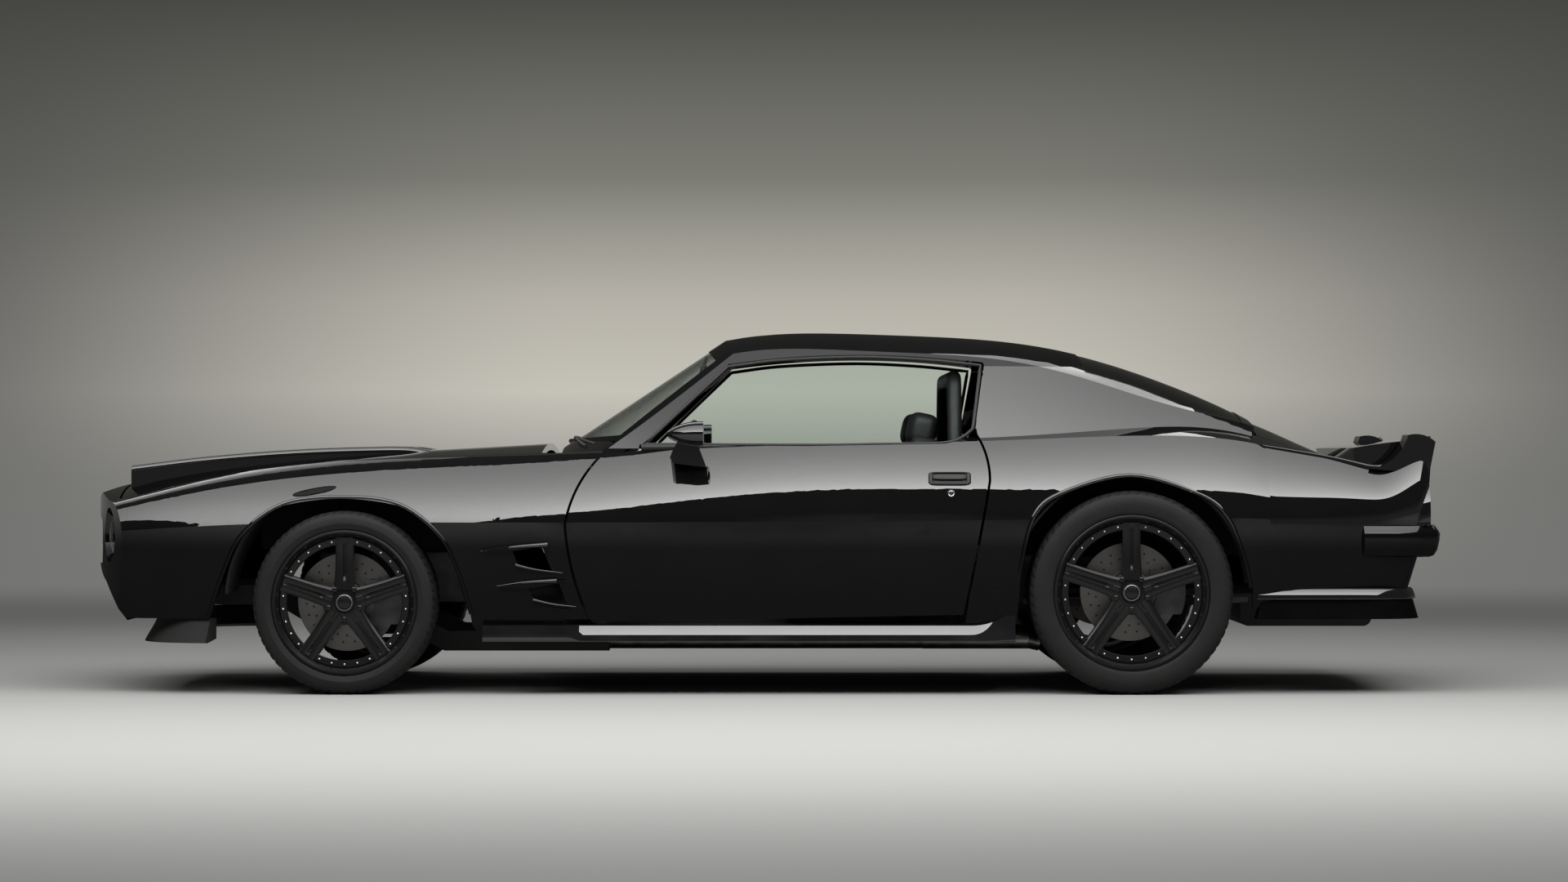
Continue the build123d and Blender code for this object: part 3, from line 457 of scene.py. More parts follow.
@dataclass(frozen=True)
class DrilledSteel(Finish):
    """Brake disc face: turned rings and rows of drilled holes round the axle, the holes filled with painted
    shade.
    """

    axle: Pair = (0.0, 0.3)
    holes: int = 22
    rows: tuple[float, ...] = (0.118, 0.142)
    hole_radius: float = 0.0042
    hole_shade_colour: Colour = (0.01, 0.01, 0.01)
    warmth: Colour = (0.86, 0.82, 0.78)

    def inputs(self, board: Board) -> dict[str, Any]:
        """Holes are dots on rows of even pitch, each row turned a little against the last; they are painted
        near black, not metallic, as the shade inside them.
        """
        along, up, radius = board.from_axle(self.axle)
        turn = up.math("ARCTAN2", along) / math.tau
        drilled: Value | float = 0.0
        for number, row in enumerate(self.rows):
            pitch = math.tau * row / self.holes
            beside = ((turn * self.holes + number / 3.0).math("FRACT") - 0.5) * pitch
            off = radius - row
            distance = (beside * beside + off * off).math("SQRT")
            drilled = distance.between(self.hole_radius, self.hole_radius * 0.8) + drilled
        hole_shade = drilled.math("MINIMUM", 1.0)
        ring_inputs = {"W": radius, "Scale": 900.0, "Detail": 2.0}
        rings = board.value("ShaderNodeTexNoise", {"noise_dimensions": "1D"}, ring_inputs)
        warm = tuple(c * f for c, f in zip(self.colour, self.warmth))
        steel = board.blend(board.noise(12.0), self.colour, warm)
        return {
            # Painted shade: the drilled holes get a near-black, non-metallic colour for the dark inside them.
            "Base Color": board.blend(hole_shade, steel, self.hole_shade_colour),
            "Metallic": 1.0 - hole_shade,
            "Roughness": 0.3 + rings * 0.2,
            "Normal": board.bump(rings * 0.2 - drilled, 0.0008, 0.5),
        }


@dataclass(frozen=True)
class Leather(Finish):
    """Dark grained leather with a soft sheen on worn places."""

    pebbles_per_metre: float = 420.0

    def inputs(self, board: Board) -> dict[str, Any]:
        """Pebble grain from Voronoi cells, worn gloss in clouds."""
        cell_inputs = {"Vector": board.place(), "Scale": self.pebbles_per_metre}
        cell = board.value("ShaderNodeTexVoronoi", {"feature": "DISTANCE_TO_EDGE"}, cell_inputs)
        wear = board.noise(6.0).between(0.35, 0.8)
        return {
            "Base Color": board.blend(wear, self.colour, shaded(self.colour, 1.7, 0.004)),
            "Roughness": 0.52 - wear * 0.14,
            "Normal": board.bump(cell.between(0.0, 0.25), 0.0005, 0.5),
        }


@dataclass(frozen=True)
class Honeycomb(Finish):
    """Grille mesh: bright-edged web between openings painted dark as the shade behind the mesh, laid over Y
    and Z.
    """

    pitch: float = 0.017
    squash: float = 1.15
    opening_shade: Colour = (0.002, 0.002, 0.002)

    def inputs(self, board: Board) -> dict[str, Any]:
        """Web where the distance to the nearest cell edge is small, and painted shade in the openings between.
        """
        _, y, z = board.split(board.place())
        spot = {0: y / self.pitch, 1: z / self.pitch * self.squash}
        flat = board.node("ShaderNodeCombineXYZ", {}, spot).outputs[0]
        edge = board.value(
            "ShaderNodeTexVoronoi",
            {"feature": "DISTANCE_TO_EDGE", "voronoi_dimensions": "2D"},
            {"Vector": flat, "Scale": 1.0, "Randomness": 0.0},
        )
        web = edge.between(0.2, 0.12)
        return {
            # Painted shade: near-black fills the openings of the mesh, where the dark behind it would show.
            "Base Color": board.blend(web, self.opening_shade, self.colour),
            "Roughness": 0.55 - web * 0.25,
            "Normal": board.bump(web, 0.004, 0.8),
        }


@dataclass(frozen=True)
class PaleFloor(Finish):
    """Speckled studio floor that fades to nothing between two distances from the car."""

    fade: Pair = (5.0, 14.5)

    def wire(self, board: Board) -> None:
        """Matt colour near the car, clear far from it."""
        x, y, _ = board.split(board.place())
        radius = (x * x + y * y).math("SQRT")
        speckle = board.noise(1.2, 3.0) * 0.5 + board.noise(60.0, 2.0) * 0.5
        colour = board.blend(speckle, shaded(self.colour, 0.96), self.colour)
        plain = board.node("ShaderNodeBsdfDiffuse", {}, {"Color": colour})
        clear = board.node("ShaderNodeBsdfTransparent")
        board.end(board.mixed(radius.between(*self.fade), plain, clear))


DEEP_BLACK = (0.0016, 0.0016, 0.0019)
BLACK_PAINT = GlossPaint("black_gloss_paint", DEEP_BLACK)
ROOF_PAINT = GlossPaint("black_roof_paint", DEEP_BLACK, coat=0.4)
LEDGE_PAINT = GlossPaint("gloss_black_ledge", (0.004, 0.004, 0.005), foot_coat=1.0)
RIM_PAINT = Moulding("rim_satin_black", (0.004, 0.004, 0.0042), grain=1400.0, depth=0.00004, gloss=0.26)
RIVET = Metal("rivet_steel", (0.80, 0.80, 0.79), gloss=0.32, grain=300.0, relief=0.00001)
DARK_GLASS = ClearGlass("dark_glass", (0.22, 0.23, 0.23))
WINDOW = ClearGlass("window_glass", (0.92, 0.95, 0.94))
LAMP_COVER = ClearGlass("lamp_cover", (0.97, 0.98, 0.98))
RED_LENS = Lens("red_tail_lens", (0.28, 0.006, 0.006))
BLACK_TRIM = Moulding("black_trim", (0.012, 0.012, 0.012))
SMOKED = Moulding("smoked_marker", (0.002, 0.002, 0.002), grain=600.0, depth=0.00005, gloss=0.6, shine=0.12)
LINER = Moulding("liner_felt", (0.010, 0.010, 0.010), grain=300.0, depth=0.0008, gloss=0.85)
DASH_SKIN = Moulding("dash_skin", (0.016, 0.016, 0.017), grain=520.0, depth=0.0004, gloss=0.55)
CHASSIS_COAT = Moulding("underbody_coat", (0.018, 0.018, 0.018), grain=260.0, depth=0.0006, gloss=0.6)
MESH = Honeycomb("grille_mesh", (0.03, 0.03, 0.03))
CHROME = Metal("bright_chrome", (0.82, 0.83, 0.84), gloss=0.08, grain=60.0, relief=0.00001)
CAST = Metal("cast_metal", (0.12, 0.12, 0.125), gloss=0.5, grain=260.0, relief=0.0004)
PIPE = Metal("exhaust_steel", (0.42, 0.40, 0.37), gloss=0.36, grain=90.0, stretch=(0.2, 1.0, 1.0))
LEATHER = Leather("black_leather", (0.014, 0.0135, 0.0135))

SLOT_FINISH = {
    Slot.PAINT: BLACK_PAINT, Slot.GLASS: WINDOW, Slot.LAMP_GLASS: LAMP_COVER, Slot.TAIL_LENS: RED_LENS,
    Slot.TRIM: BLACK_TRIM, Slot.GRILLE: MESH, Slot.RIM: RIM_PAINT, Slot.CHASSIS: CHASSIS_COAT,
    Slot.CAST: CAST, Slot.EXHAUST: PIPE, Slot.SEAT: LEATHER, Slot.DASH: DASH_SKIN,
}
NODE_FINISH = {"wheel_liners": LINER, "rear_screen": DARK_GLASS, "roof": ROOF_PAINT}


@dataclass
class Surface:
    """Points and four-sided faces worked out on a grid."""

    points: np.ndarray
    faces: np.ndarray

    @classmethod
    def grid(cls, points: np.ndarray, wrap_u: bool = False, wrap_v: bool = False) -> "Surface":
        """Faces between neighbours of a grid of points.

        Args:
            points: array of shape (u, v, 3).
            wrap_u: whether the last row joins the first.
            wrap_v: whether the last column joins the first.

        Returns:
            The surface, its faces turned so that u cross v points out.
        """
        rows, columns = points.shape[:2]
        u = np.arange(rows if wrap_u else rows - 1)[:, None]
        v = np.arange(columns if wrap_v else columns - 1)[None, :]
        corners = ((0, 0), (1, 0), (1, 1), (0, 1))
        faces = np.stack([(u + du) % rows * columns + (v + dv) % columns for du, dv in corners], axis=-1)
        return cls(points.reshape(-1, 3), faces.reshape(-1, 4))

    @classmethod
    def turned(
        cls,
        profile: np.ndarray,
        steps: int,
        axis_at: Point,
        side: float,
        closed: bool = True,
        cut: Any = 0.0,
    ) -> "Surface":
        """Profile carried round a line along Y.

        Args:
            profile: (radius, inward distance) pairs; inward runs against the side's direction.
            steps: points round the turn.
            axis_at: point of the axis at inward distance 0.
            side: -1 for the left of the car, 1 for its right.
            closed: whether the profile's last point joins its first.
            cut: depth taken off the radius, one number or an array (steps, profile).

        Returns:
            The turned surface.
        """
        angle = np.linspace(0.0, math.tau, steps, endpoint=False)[:, None]
        radius = profile[None, :, 0] - cut
        x = axis_at[0] + radius * np.cos(angle)
        z = axis_at[2] + radius * np.sin(angle)
        y = np.broadcast_to(axis_at[1] - side * profile[None, :, 1], x.shape)
        return cls.grid(np.stack([x, y, z], axis=-1), wrap_u=True, wrap_v=closed)

    @classmethod
    def swept(cls, sections: np.ndarray) -> "Surface":
        """Closed sections joined in order, with both ends closed to their middles.

        Args:
            sections: array (along, round, 3) of each section's points.

        Returns:
            A closed surface.
        """
        first, last = (np.broadcast_to(end.mean(axis=0), end.shape) for end in (sections[0], sections[-1]))
        return cls.grid(np.concatenate([first[None], sections, last[None]]), wrap_v=True)

    def mirrored(self) -> "Surface":
        """The surface on the other side of the car, faces turned to point out."""
        return Surface(self.points * (1.0, -1.0, 1.0), self.faces[:, ::-1])

    @staticmethod
    def joined(parts: Sequence["Surface"]) -> "Surface":
        """Several surfaces as one.

        Args:
            parts: the surfaces.

        Returns:
            One surface with all their points and faces.
        """
        starts = np.cumsum([0] + [len(p.points) for p in parts[:-1]])
        return Surface(
            np.concatenate([p.points for p in parts]),
            np.concatenate([p.faces + start for p, start in zip(parts, starts)]),
        )


def both(left: Surface) -> Surface:
    """A left-hand surface and its right-hand twin."""
    return Surface.joined([left, left.mirrored()])


def closed_sheet(front: np.ndarray, back: np.ndarray) -> Surface:
    """Two grids of the same shape joined along their four edges.

    Args:
        front: array (u, v, 3) of one face's points.
        back: the other face's points.

    Returns:
        A closed sheet.
    """
    loops = []
    for grid in (front, back):
        loops.append(np.concatenate([grid[:, 0], grid[-1, 1:], grid[-2::-1, -1], grid[0, -2:0:-1]]))
    rim = Surface.grid(np.stack(loops), wrap_v=True)
    return Surface.joined([Surface.grid(front), Surface.grid(back), rim])


def upright_sheet(x: np.ndarray, half_width: np.ndarray, z: np.ndarray, thick: float) -> Surface:
    """Closed sheet on the left of the car, with its second face inside the first.

    Args:
        x: places along the car, a grid.
        half_width: distance of the outer face from the car's middle plane.
        z: heights, as many as the grid's columns.
        thick: distance between the faces across the car.

    Returns:
        A closed sheet.
    """
    heights = np.broadcast_to(z, x.shape)
    return closed_sheet(*(np.stack([x, -(half_width - inside), heights], axis=-1) for inside in (0.0, thick)))


def smooth_line(points: Sequence[Sequence[float]], steps: int) -> np.ndarray:
    """Line through points with a tangent at each along its two neighbours (Catmull-Rom).

    Args:
        points: two or three numbers each.
        steps: points per span.

    Returns:
        Array of the line's points.
    """
    p = np.asarray(points, float)
    q = np.concatenate([2 * p[:1] - p[1:2], p, 2 * p[-1:] - p[-2:-1]])
    spans = len(p) - 1
    t = np.linspace(0.0, 1.0, steps, endpoint=False)[None, :, None]
    a, b, c, d = (q[i:i + spans, None, :] for i in range(4))
    bends = (2 * a - 5 * b + 4 * c - d) * t**2 + (3 * b - a - 3 * c + d) * t**3
    line = 0.5 * (2 * b + (c - a) * t + bends)
    return np.concatenate([line.reshape(-1, p.shape[1]), p[-1:]])


def mirrored_plan(half: Sequence[Pair], steps: int) -> np.ndarray:
    """Plan line through a half outline, which ends on the car's middle line, and its mirror."""
    return smooth_line(list(half) + [(x, -y) for x, y in half[-2::-1]], steps)


def unit(vectors: np.ndarray) -> np.ndarray:
    """Vectors of length 1 with the same directions."""
    return vectors / np.linalg.norm(vectors, axis=1, keepdims=True)


def tube(path: np.ndarray, radius: Any, sides: int = 10, flat: float = 1.0) -> Surface:
    """Round or oval bar along a path: each ring lies across the path's direction.

    Args:
        path: points of the middle line, which nowhere runs straight up.
        radius: one radius or one for each point.
        sides: points round the bar.
        flat: height over width of the oval.

    Returns:
        A closed bar.
    """
    along = unit(np.gradient(path, axis=0))
    across = unit(np.cross(along, (0.0, 0.0, 1.0)))
    above = np.cross(across, along)
    angle = np.linspace(0.0, math.tau, sides, endpoint=False)[None, :, None]
    size = np.broadcast_to(np.asarray(radius, float), (len(path),))[:, None, None]
    ring = across[:, None, :] * np.cos(angle) + above[:, None, :] * np.sin(angle) * flat
    return Surface.swept(path[:, None, :] + ring * size)


def carried_round(plan: np.ndarray, profile: Sequence[Pair]) -> Surface:
    """Closed profile carried along a plan line: its first number goes across the line, outwards.

    Args:
        plan: (x, y) points, with the outside on the line's right seen from above.
        profile: (outward distance, height) pairs.

    Returns:
        A closed bar.
    """
    rows = np.asarray(profile)
    along = unit(np.gradient(plan, axis=0))
    outward = np.stack([along[:, 1], -along[:, 0]], axis=-1)
    xy = plan[:, None, :] + outward[:, None, :] * rows[None, :, :1]
    z = np.broadcast_to(rows[None, :, 1:], (len(plan), len(rows), 1))
    return Surface.swept(np.concatenate([xy, z], axis=-1))


def new_object(name: str, surface: Surface, weld: float) -> bpy.types.Object:
    """Put a surface into the scene: doubled points merged, empty faces dropped, faces turned outwards.

    Args:
        name: object and mesh name.
        surface: its points and faces.
        weld: distance within which points are merged.

    Returns:
        The object, at the origin.
    """
    mesh = bpy.data.meshes.new(name)
    mesh.from_pydata(surface.points.tolist(), [], surface.faces.tolist())
    work = bmesh.new()
    work.from_mesh(mesh)
    bmesh.ops.remove_doubles(work, verts=work.verts, dist=weld)
    bmesh.ops.dissolve_degenerate(work, edges=work.edges, dist=weld / 10)
    bmesh.ops.recalc_face_normals(work, faces=work.faces)
    work.to_mesh(mesh)
    work.free()
    made = bpy.data.objects.new(name, mesh)
    bpy.context.scene.collection.objects.link(made)
    return made


def make_piece(
    name: str,
    surface: Surface,
    body: str,
    finish: Finish,
    replaces: Sequence[str] = (),
    crease: float = 40.0,
) -> bpy.types.Object:
    """Put a surface into the scene as a piece that rides on a body.

    Args:
        name: piece name.
        surface: its points and faces.
        body: body that carries it.
        finish: its material.
        replaces: nodes that it stands for.
        crease: angle in degrees above which an edge stays sharp.

    Returns:
        The object.
    """
    made = new_object(name, surface, 1e-5)
    mesh = made.data
    mesh.shade_smooth()
    mesh.set_sharp_from_angle(angle=math.radians(crease))
    mesh.materials.append(finish.material())
    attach(made, body)
    if replaces:
        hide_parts(*replaces)
    log.info("%s: %d faces on %s", name, len(mesh.polygons), body)
    return made


def dress_node(name: str, finish: Finish) -> None:
    """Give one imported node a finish.

    Args:
        name: node name.
        finish: its material.
    """
    mesh = frame["nodes"][name].data
    mesh.materials.clear()
    mesh.materials.append(finish.material())
    log.info("%s: %s", name, finish.name)


@dataclass
class Wheel:
    """One wheel: tyre with tread, spoked rim with rivets, nuts and cap, drilled disc.

    Profiles are (radius, inward distance) pairs, inward from the plane of the tyre's outer side.
    """

    name: str
    axle_x: float
    axle_z: float
    side: float
    middle_y: float
    half: float
    lip: float
    rim_lip: float = 0.014
    tyre_steps: int = 384
    tread_edge: float = 0.034
    tread_columns: int = 44
    ring_places: tuple[float, ...] = (-0.55, -0.18, 0.18, 0.55)
    ring_half: float = 0.0062
    ring_depth: float = 0.006
    cuts: int = 64
    cut_lean: float = 1.7
    cut_half: float = 0.13
    cut_depth: float = 0.005
    spokes: int = 5
    spoke_from: float = 0.045
    spoke_half: float = 0.0315
    spoke_face: float = 0.0165
    spoke_back: float = 0.042
    nut_reach: float = 0.057
    rivets: int = 5
    rivet_turn: float = 0.21
    rivet_inset: float = 0.023
    cap_ring: float = 0.0265
    cap_ring_in: float = 0.0185
    cap_ring_half: float = 0.0012

    @property
    def body(self) -> str:
        """Body that the wheel turns with."""
        return f"wheel_{self.name}"

    @property
    def face(self) -> Point:
        """Middle of the tyre's outer side plane."""
        return (self.axle_x, self.side * (self.middle_y + self.half), self.axle_z)

    @property
    def seat(self) -> float:
        """Radius of the bead seat."""
        return self.lip - self.rim_lip

    @property
    def gaps(self) -> list[float]:
        """Angles of the middles between spokes, the first spoke standing straight up."""
        return [math.pi / 2 + math.tau / self.spokes * (k + 0.5) for k in range(self.spokes)]

    def build(self) -> None:
        """Build and dress the wheel's pieces."""
        axle = (self.axle_x, self.axle_z)
        rings = (self.lip + 0.014, self.axle_z - 0.024)
        rubber = Rubber(f"rubber_{self.name[0]}", (0.006, 0.006, 0.006), axle, *rings)
        steel = DrilledSteel(f"disc_steel_{self.name[0]}", (0.20, 0.196, 0.19), axle)
        tyre, rim = f"tyre_{self.name}", f"rim_{self.name}"
        make_piece(f"tyre_skin_{self.name}", self.tyre(), self.body, rubber, [tyre])
        make_piece(f"rim_skin_{self.name}", self.rim(), self.body, RIM_PAINT, [rim], crease=32.0)
        make_piece(f"rim_bright_{self.name}", self.bright(), self.body, RIVET)
        dress_node(f"disc_{self.name}", steel)

    def tyre(self) -> Surface:
        """Side walls and tread turned about the axle, from one bead over the tread to the other.

        Returns:
            The closed tyre surface.
        """
        r, lip, seat, width = self.axle_z, self.lip, self.seat, 2 * self.half
        wall = smooth_line([
            (seat, 0.022), (lip - 0.001, 0.014), (lip + 0.004, 0.006), (lip + 0.018, 0.0015),
            (r - 0.042, 0.0), (r - 0.022, 0.005), (r - 0.010, 0.014), (r - 0.003, 0.027),
        ], 4)
        tread_in = np.linspace(self.tread_edge, width - self.tread_edge, self.tread_columns)
        tread = np.stack([np.full_like(tread_in, r), tread_in], axis=-1)
        far_wall = wall[::-1] * (1.0, -1.0) + (0.0, width)
        bore = np.array([(seat, width - 0.03), (seat - 0.001, self.half), (seat, 0.03)])
        profile = np.concatenate([wall, tread, far_wall, bore])
        return Surface.turned(profile, self.tyre_steps, self.face, self.side, cut=self.tread_cuts(profile))

    def tread_cuts(self, profile: np.ndarray) -> np.ndarray:
        """Depth of the tread's grooves.

        The radius drops where one of four rings or a slanted cross cut runs: the cuts are lines where the
        cut's number plus a lean across the width is whole.

        Args:
            profile: the tyre's profile.

        Returns:
            Array (steps, profile) of depths.
        """
        across = (profile[None, :, 1] - self.half) / self.half
        on_tread = profile[None, :, 0] > self.axle_z - 0.012
        off_ring = np.minimum.reduce([np.abs(across - place) for place in self.ring_places]) * self.half
        ring = np.clip((self.ring_half - off_ring) / 0.002, 0.0, 1.0) * (np.abs(across) < 0.75)
        number = np.linspace(0.0, self.cuts, self.tyre_steps, endpoint=False)[:, None]
        number = number + np.sign(across) * np.abs(across) ** 1.3 * self.cut_lean
        off_cut = np.abs(number - np.round(number))
        cut = np.clip((self.cut_half - off_cut) / 0.05, 0.0, 1.0) * (np.abs(across) > 0.2)
        return np.maximum(ring * self.ring_depth, cut * self.cut_depth) * on_tread

    def rim(self) -> Surface:
        """Barrel with rolled lips, rivet ring, hub, spokes, cap and nuts.

        Returns:
            The rim's closed parts as one surface.
        """
        lip, seat, width = self.lip, self.seat, 2 * self.half
        barrel = [
            (seat, 0.021), (lip, 0.016), (lip + 0.001, 0.006), (lip - 0.003, 0.0025), (lip - 0.009, 0.003),
            (lip - 0.013, 0.008), (seat - 0.009, 0.022), (seat - 0.012, 0.040), (seat - 0.012, width - 0.040),
            (lip - 0.012, width - 0.003), (lip, width - 0.003), (lip, width - 0.016), (seat, width - 0.021),
        ]
        ring = [
            (seat - 0.010, 0.026), (seat - 0.014, 0.023), (seat - 0.034, 0.0245), (seat - 0.037, 0.028),
            (seat - 0.036, 0.042), (seat - 0.010, 0.042),
        ]
        hub = [
            (0.0, 0.020), (0.034, 0.020), (0.038, 0.024), (0.060, 0.0245), (0.074, 0.030), (0.078, 0.040),
            (0.078, 0.072), (0.0, 0.072),
        ]
        cap = [(0.0, 0.0075), (0.012, 0.008), (0.021, 0.0105), (0.0245, 0.0145), (0.0255, 0.021)]
        nut = [(0.0, 0.010), (0.006, 0.0105), (0.0095, 0.0125), (0.0105, 0.0165), (0.0105, 0.026)]
        rows = ((barrel, 160, True), (ring, 160, True), (hub, 80, False))
        parts = [Surface.turned(np.array(p), steps, self.face, self.side, shut) for p, steps, shut in rows]
        parts += [self.spoke(number) for number in range(self.spokes)]
        parts.append(Surface.turned(np.array(cap), 48, self.face, self.side, closed=False))
        parts += [self.stud(nut, self.nut_reach, angle, 6) for angle in self.gaps]
        return Surface.joined(parts)

    def spoke(self, number: int) -> Surface:
        """One spoke: a ribbed section carried outwards from the hub.

        The section is wide and flat with chamfered flanks and a groove down its middle that fades at both
        ends. Its width narrows from the hub and widens again at the ring, and its face dips towards the
        middle of the reach, so that the spoke looks hollowed.

        Args:
            number: which spoke, counted from straight up.

        Returns:
            The closed spoke.
        """
        flank = np.array([
            (1.0, 0.020), (0.97, 0.006), (0.80, 0.001), (0.72, 0.0),
            (0.26, 0.0), (0.16, 0.001), (0.10, 0.007),
        ])
        across = np.concatenate([-flank[:, 0], flank[::-1, 0], [1.0, -1.0]])
        drop = np.concatenate([flank[:, 1], flank[::-1, 1], [self.spoke_back, self.spoke_back]])
        t = np.linspace(0.0, 1.0, 28)[:, None]
        fade = np.clip(np.minimum((t - 0.16) / 0.1, (0.97 - t) / 0.08), 0.0, 1.0)
        groove = np.where(np.abs(across) < 0.12, fade, 1.0)
        inward = self.spoke_face + 0.0048 * np.sin(math.pi * t) + 0.004 * t + drop * groove
        sideways = across * (self.spoke_half + 0.008 * (1.0 - t) ** 3 + 0.002 * t**3)
        reach = self.spoke_from + (self.seat - 0.011 - self.spoke_from) * t
        angle = math.tau / self.spokes * number
        x = self.axle_x + sideways * math.cos(angle) + reach * math.sin(angle)
        z = self.axle_z - sideways * math.sin(angle) + reach * math.cos(angle)
        return Surface.swept(np.stack([x, self.face[1] - self.side * inward, z], axis=-1))

    def bright(self) -> Surface:
        """Bright bits: rivets in groups between the spokes and a thin ring about the cap.

        Returns:
            The bits as one surface.
        """
        turn = np.linspace(0.0, math.tau, 16, endpoint=False)
        bead = np.stack([np.cos(turn), np.sin(turn)], axis=-1) * self.cap_ring_half
        parts = [Surface.turned(bead + (self.cap_ring, self.cap_ring_in), 96, self.face, self.side)]
        rivet = [(0.0, 0.0185), (0.0022, 0.019), (0.0040, 0.021), (0.0044, 0.0238)]
        places = (np.arange(self.rivets) - (self.rivets - 1) / 2) * self.rivet_turn
        reach = self.seat - self.rivet_inset
        parts += [self.stud(rivet, reach, middle + place, 8) for middle in self.gaps for place in places]
        return Surface.joined(parts)

    def stud(self, profile: Sequence[Pair], reach: float, angle: float, steps: int) -> Surface:
        """One small turned bit at a radius and angle round the axle.

        Args:
            profile: its profile about its own middle.
            reach: distance from the axle.
            angle: turn round the axle.
            steps: points round it.

        Returns:
            The bit, open at its foot inside the rim.
        """
        x, y, z = self.face
        spot = (x + reach * math.cos(angle), y, z + reach * math.sin(angle))
        return Surface.turned(np.array(profile), steps, spot, self.side, closed=False)


@dataclass
class Studio:
    """Floor, background, soft lights and the camera."""

    floor: PaleFloor = PaleFloor("pale_floor", (0.30, 0.30, 0.295))
    floor_rings: tuple[float, ...] = (0.0, 2.0, 5.0, 9.0, 15.0)
    floor_z: float = -0.0005
    glow_stops: tuple[tuple[float, Colour], ...] = (
        (0.0, (0.30, 0.30, 0.29)), (0.16, (0.22, 0.22, 0.21)), (0.30, (0.33, 0.325, 0.30)),
        (0.42, (0.56, 0.54, 0.48)), (0.55, (0.46, 0.44, 0.39)), (0.72, (0.20, 0.20, 0.175)),
        (1.0, (0.055, 0.055, 0.050)),
    )
    glow_heights: Pair = (-0.05, 0.10)
    glow_turn: Pair = (0.20, 0.04)
    dim_foot: Colour = (0.19, 0.19, 0.185)
    dim_top: Colour = (0.055, 0.055, 0.05)
    fill: Colour = (0.12, 0.12, 0.118)
    camera_at: Point = (0.065, -17.4, 0.841)
    camera_lift_deg: float = 0.148
    lens_mm: float = 108.75
    sensor_mm: float = 36.0
    bank_z: float = 4.0
    bank_length: float = 10.0
    bank_colour: Colour = (1.0, 0.995, 0.985)
    bank_rise: float = 4.6
    bank_power: float = 1.3
    near_glow: float = 1.25
    near_edges: Pair = (-5.8, 0.5)
    far_share: float = 0.30
    far_edges: Pair = (5.0, 2.0)
    power_per_glow: float = 4.0

    def build(self) -> None:
        """Set the whole stage."""
        self.lay_floor()
        self.background()
        self.bank("near_bank", *self.near_edges, self.near_glow)
        self.bank("far_bank", *self.far_edges, self.near_glow * self.far_share)
        self.camera()

    def lay_floor(self) -> None:
        """Round pale floor, whose finish fades into the background: rings of points about the car."""
        reach = np.array(self.floor_rings)[:, None]
        turn = np.linspace(0.0, math.tau, 96, endpoint=False)
        x, y = reach * np.cos(turn), reach * np.sin(turn)
        rings = np.stack([x, y, np.full_like(x, self.floor_z)], axis=-1)
        made = new_object("floor", Surface.grid(rings, wrap_v=True), 1e-4)
        made.data.materials.append(self.floor.material())

    def background(self) -> None:
        """Warm glow behind the car, dim towards the top and round the sides; soft fill otherwise."""
        world = bpy.context.scene.world or bpy.data.worlds.new("studio")
        bpy.context.scene.world = world
        world.use_nodes = True
        board = Board(world.node_tree)
        x, y, z = board.split(board.node("ShaderNodeTexCoord").outputs["Generated"])
        low, high = self.glow_heights
        height = board.value("ShaderNodeMapRange", {}, {0: z, 1: low, 2: high})
        glow = board.node("ShaderNodeValToRGB", {"stops": self.glow_stops}, {0: height}).outputs[0]
        behind = abs(x.math("ARCTAN2", y)).between(*self.glow_turn)
        seen = board.blend(behind, board.blend(height, self.dim_foot, self.dim_top), glow)
        path = board.node("ShaderNodeLightPath")
        direct = Value(board, path.outputs["Is Camera Ray"])
        for name in ("Is Glossy Ray", "Is Transmission Ray"):
            direct = direct.math("MAXIMUM", path.outputs[name])
        colour = board.blend(direct, self.fill, seen)
        board.end(board.node("ShaderNodeBackground", {}, {"Color": colour, "Strength": 1.0}), "World")

    def bank(self, name: str, outer_y: float, inner_y: float, glow: float) -> None:
        """One long soft bank beside and above the car, brightest along its outer edge.

        Args:
            name: lamp name.
            outer_y: its edge away from the car.
            inner_y: its edge over or nearest the car.
            glow: radiance at the inner edge.
        """
        depth = abs(inner_y - outer_y)
        lamp = bpy.data.lights.new(name, "AREA")
        lamp.shape = "RECTANGLE"
        lamp.size = self.bank_length
        lamp.size_y = depth
        lamp.energy = glow * self.power_per_glow * self.bank_length * depth
        lamp.color = self.bank_colour
        lamp.use_nodes = True
        board = Board(lamp.node_tree)
        _, v, _ = board.split(board.node("ShaderNodeTexCoord").outputs["UV"])
        outer = v if outer_y > inner_y else 1.0 - v
        graded = outer.math("POWER", self.bank_power) * (self.bank_rise - 1.0) + 1.0
        board.end(board.node("ShaderNodeEmission", {}, {"Strength": graded}), "Light")
        made = bpy.data.objects.new(name, lamp)
        bpy.context.scene.collection.objects.link(made)
        made.location = (0.0, (outer_y + inner_y) / 2, self.bank_z)
        made.visible_camera = False

    def camera(self) -> None:
        """Long lens square to the car's left side, level with its belt line."""
        data = bpy.data.cameras.new("side_camera")
        data.sensor_width = self.sensor_mm
        data.lens = self.lens_mm
        made = bpy.data.objects.new("side_camera", data)
        bpy.context.scene.collection.objects.link(made)
        made.location = self.camera_at
        made.rotation_euler = (math.radians(90.0 + self.camera_lift_deg), 0.0, 0.0)
        bpy.context.scene.camera = made


@dataclass
class CarShell:
    """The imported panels, glass and running gear, each with its slot's finish or its own."""

    own: Mapping[str, Finish] = field(default_factory=lambda: NODE_FINISH)

    def dress(self) -> None:
        """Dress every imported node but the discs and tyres, which each wheel dresses."""
        for row in frame["record"]["subparts"]:
            finish = self.own.get(row["node"], SLOT_FINISH.get(Slot(row["material_slot"])))
            if finish is not None:
                dress_node(row["node"], finish)


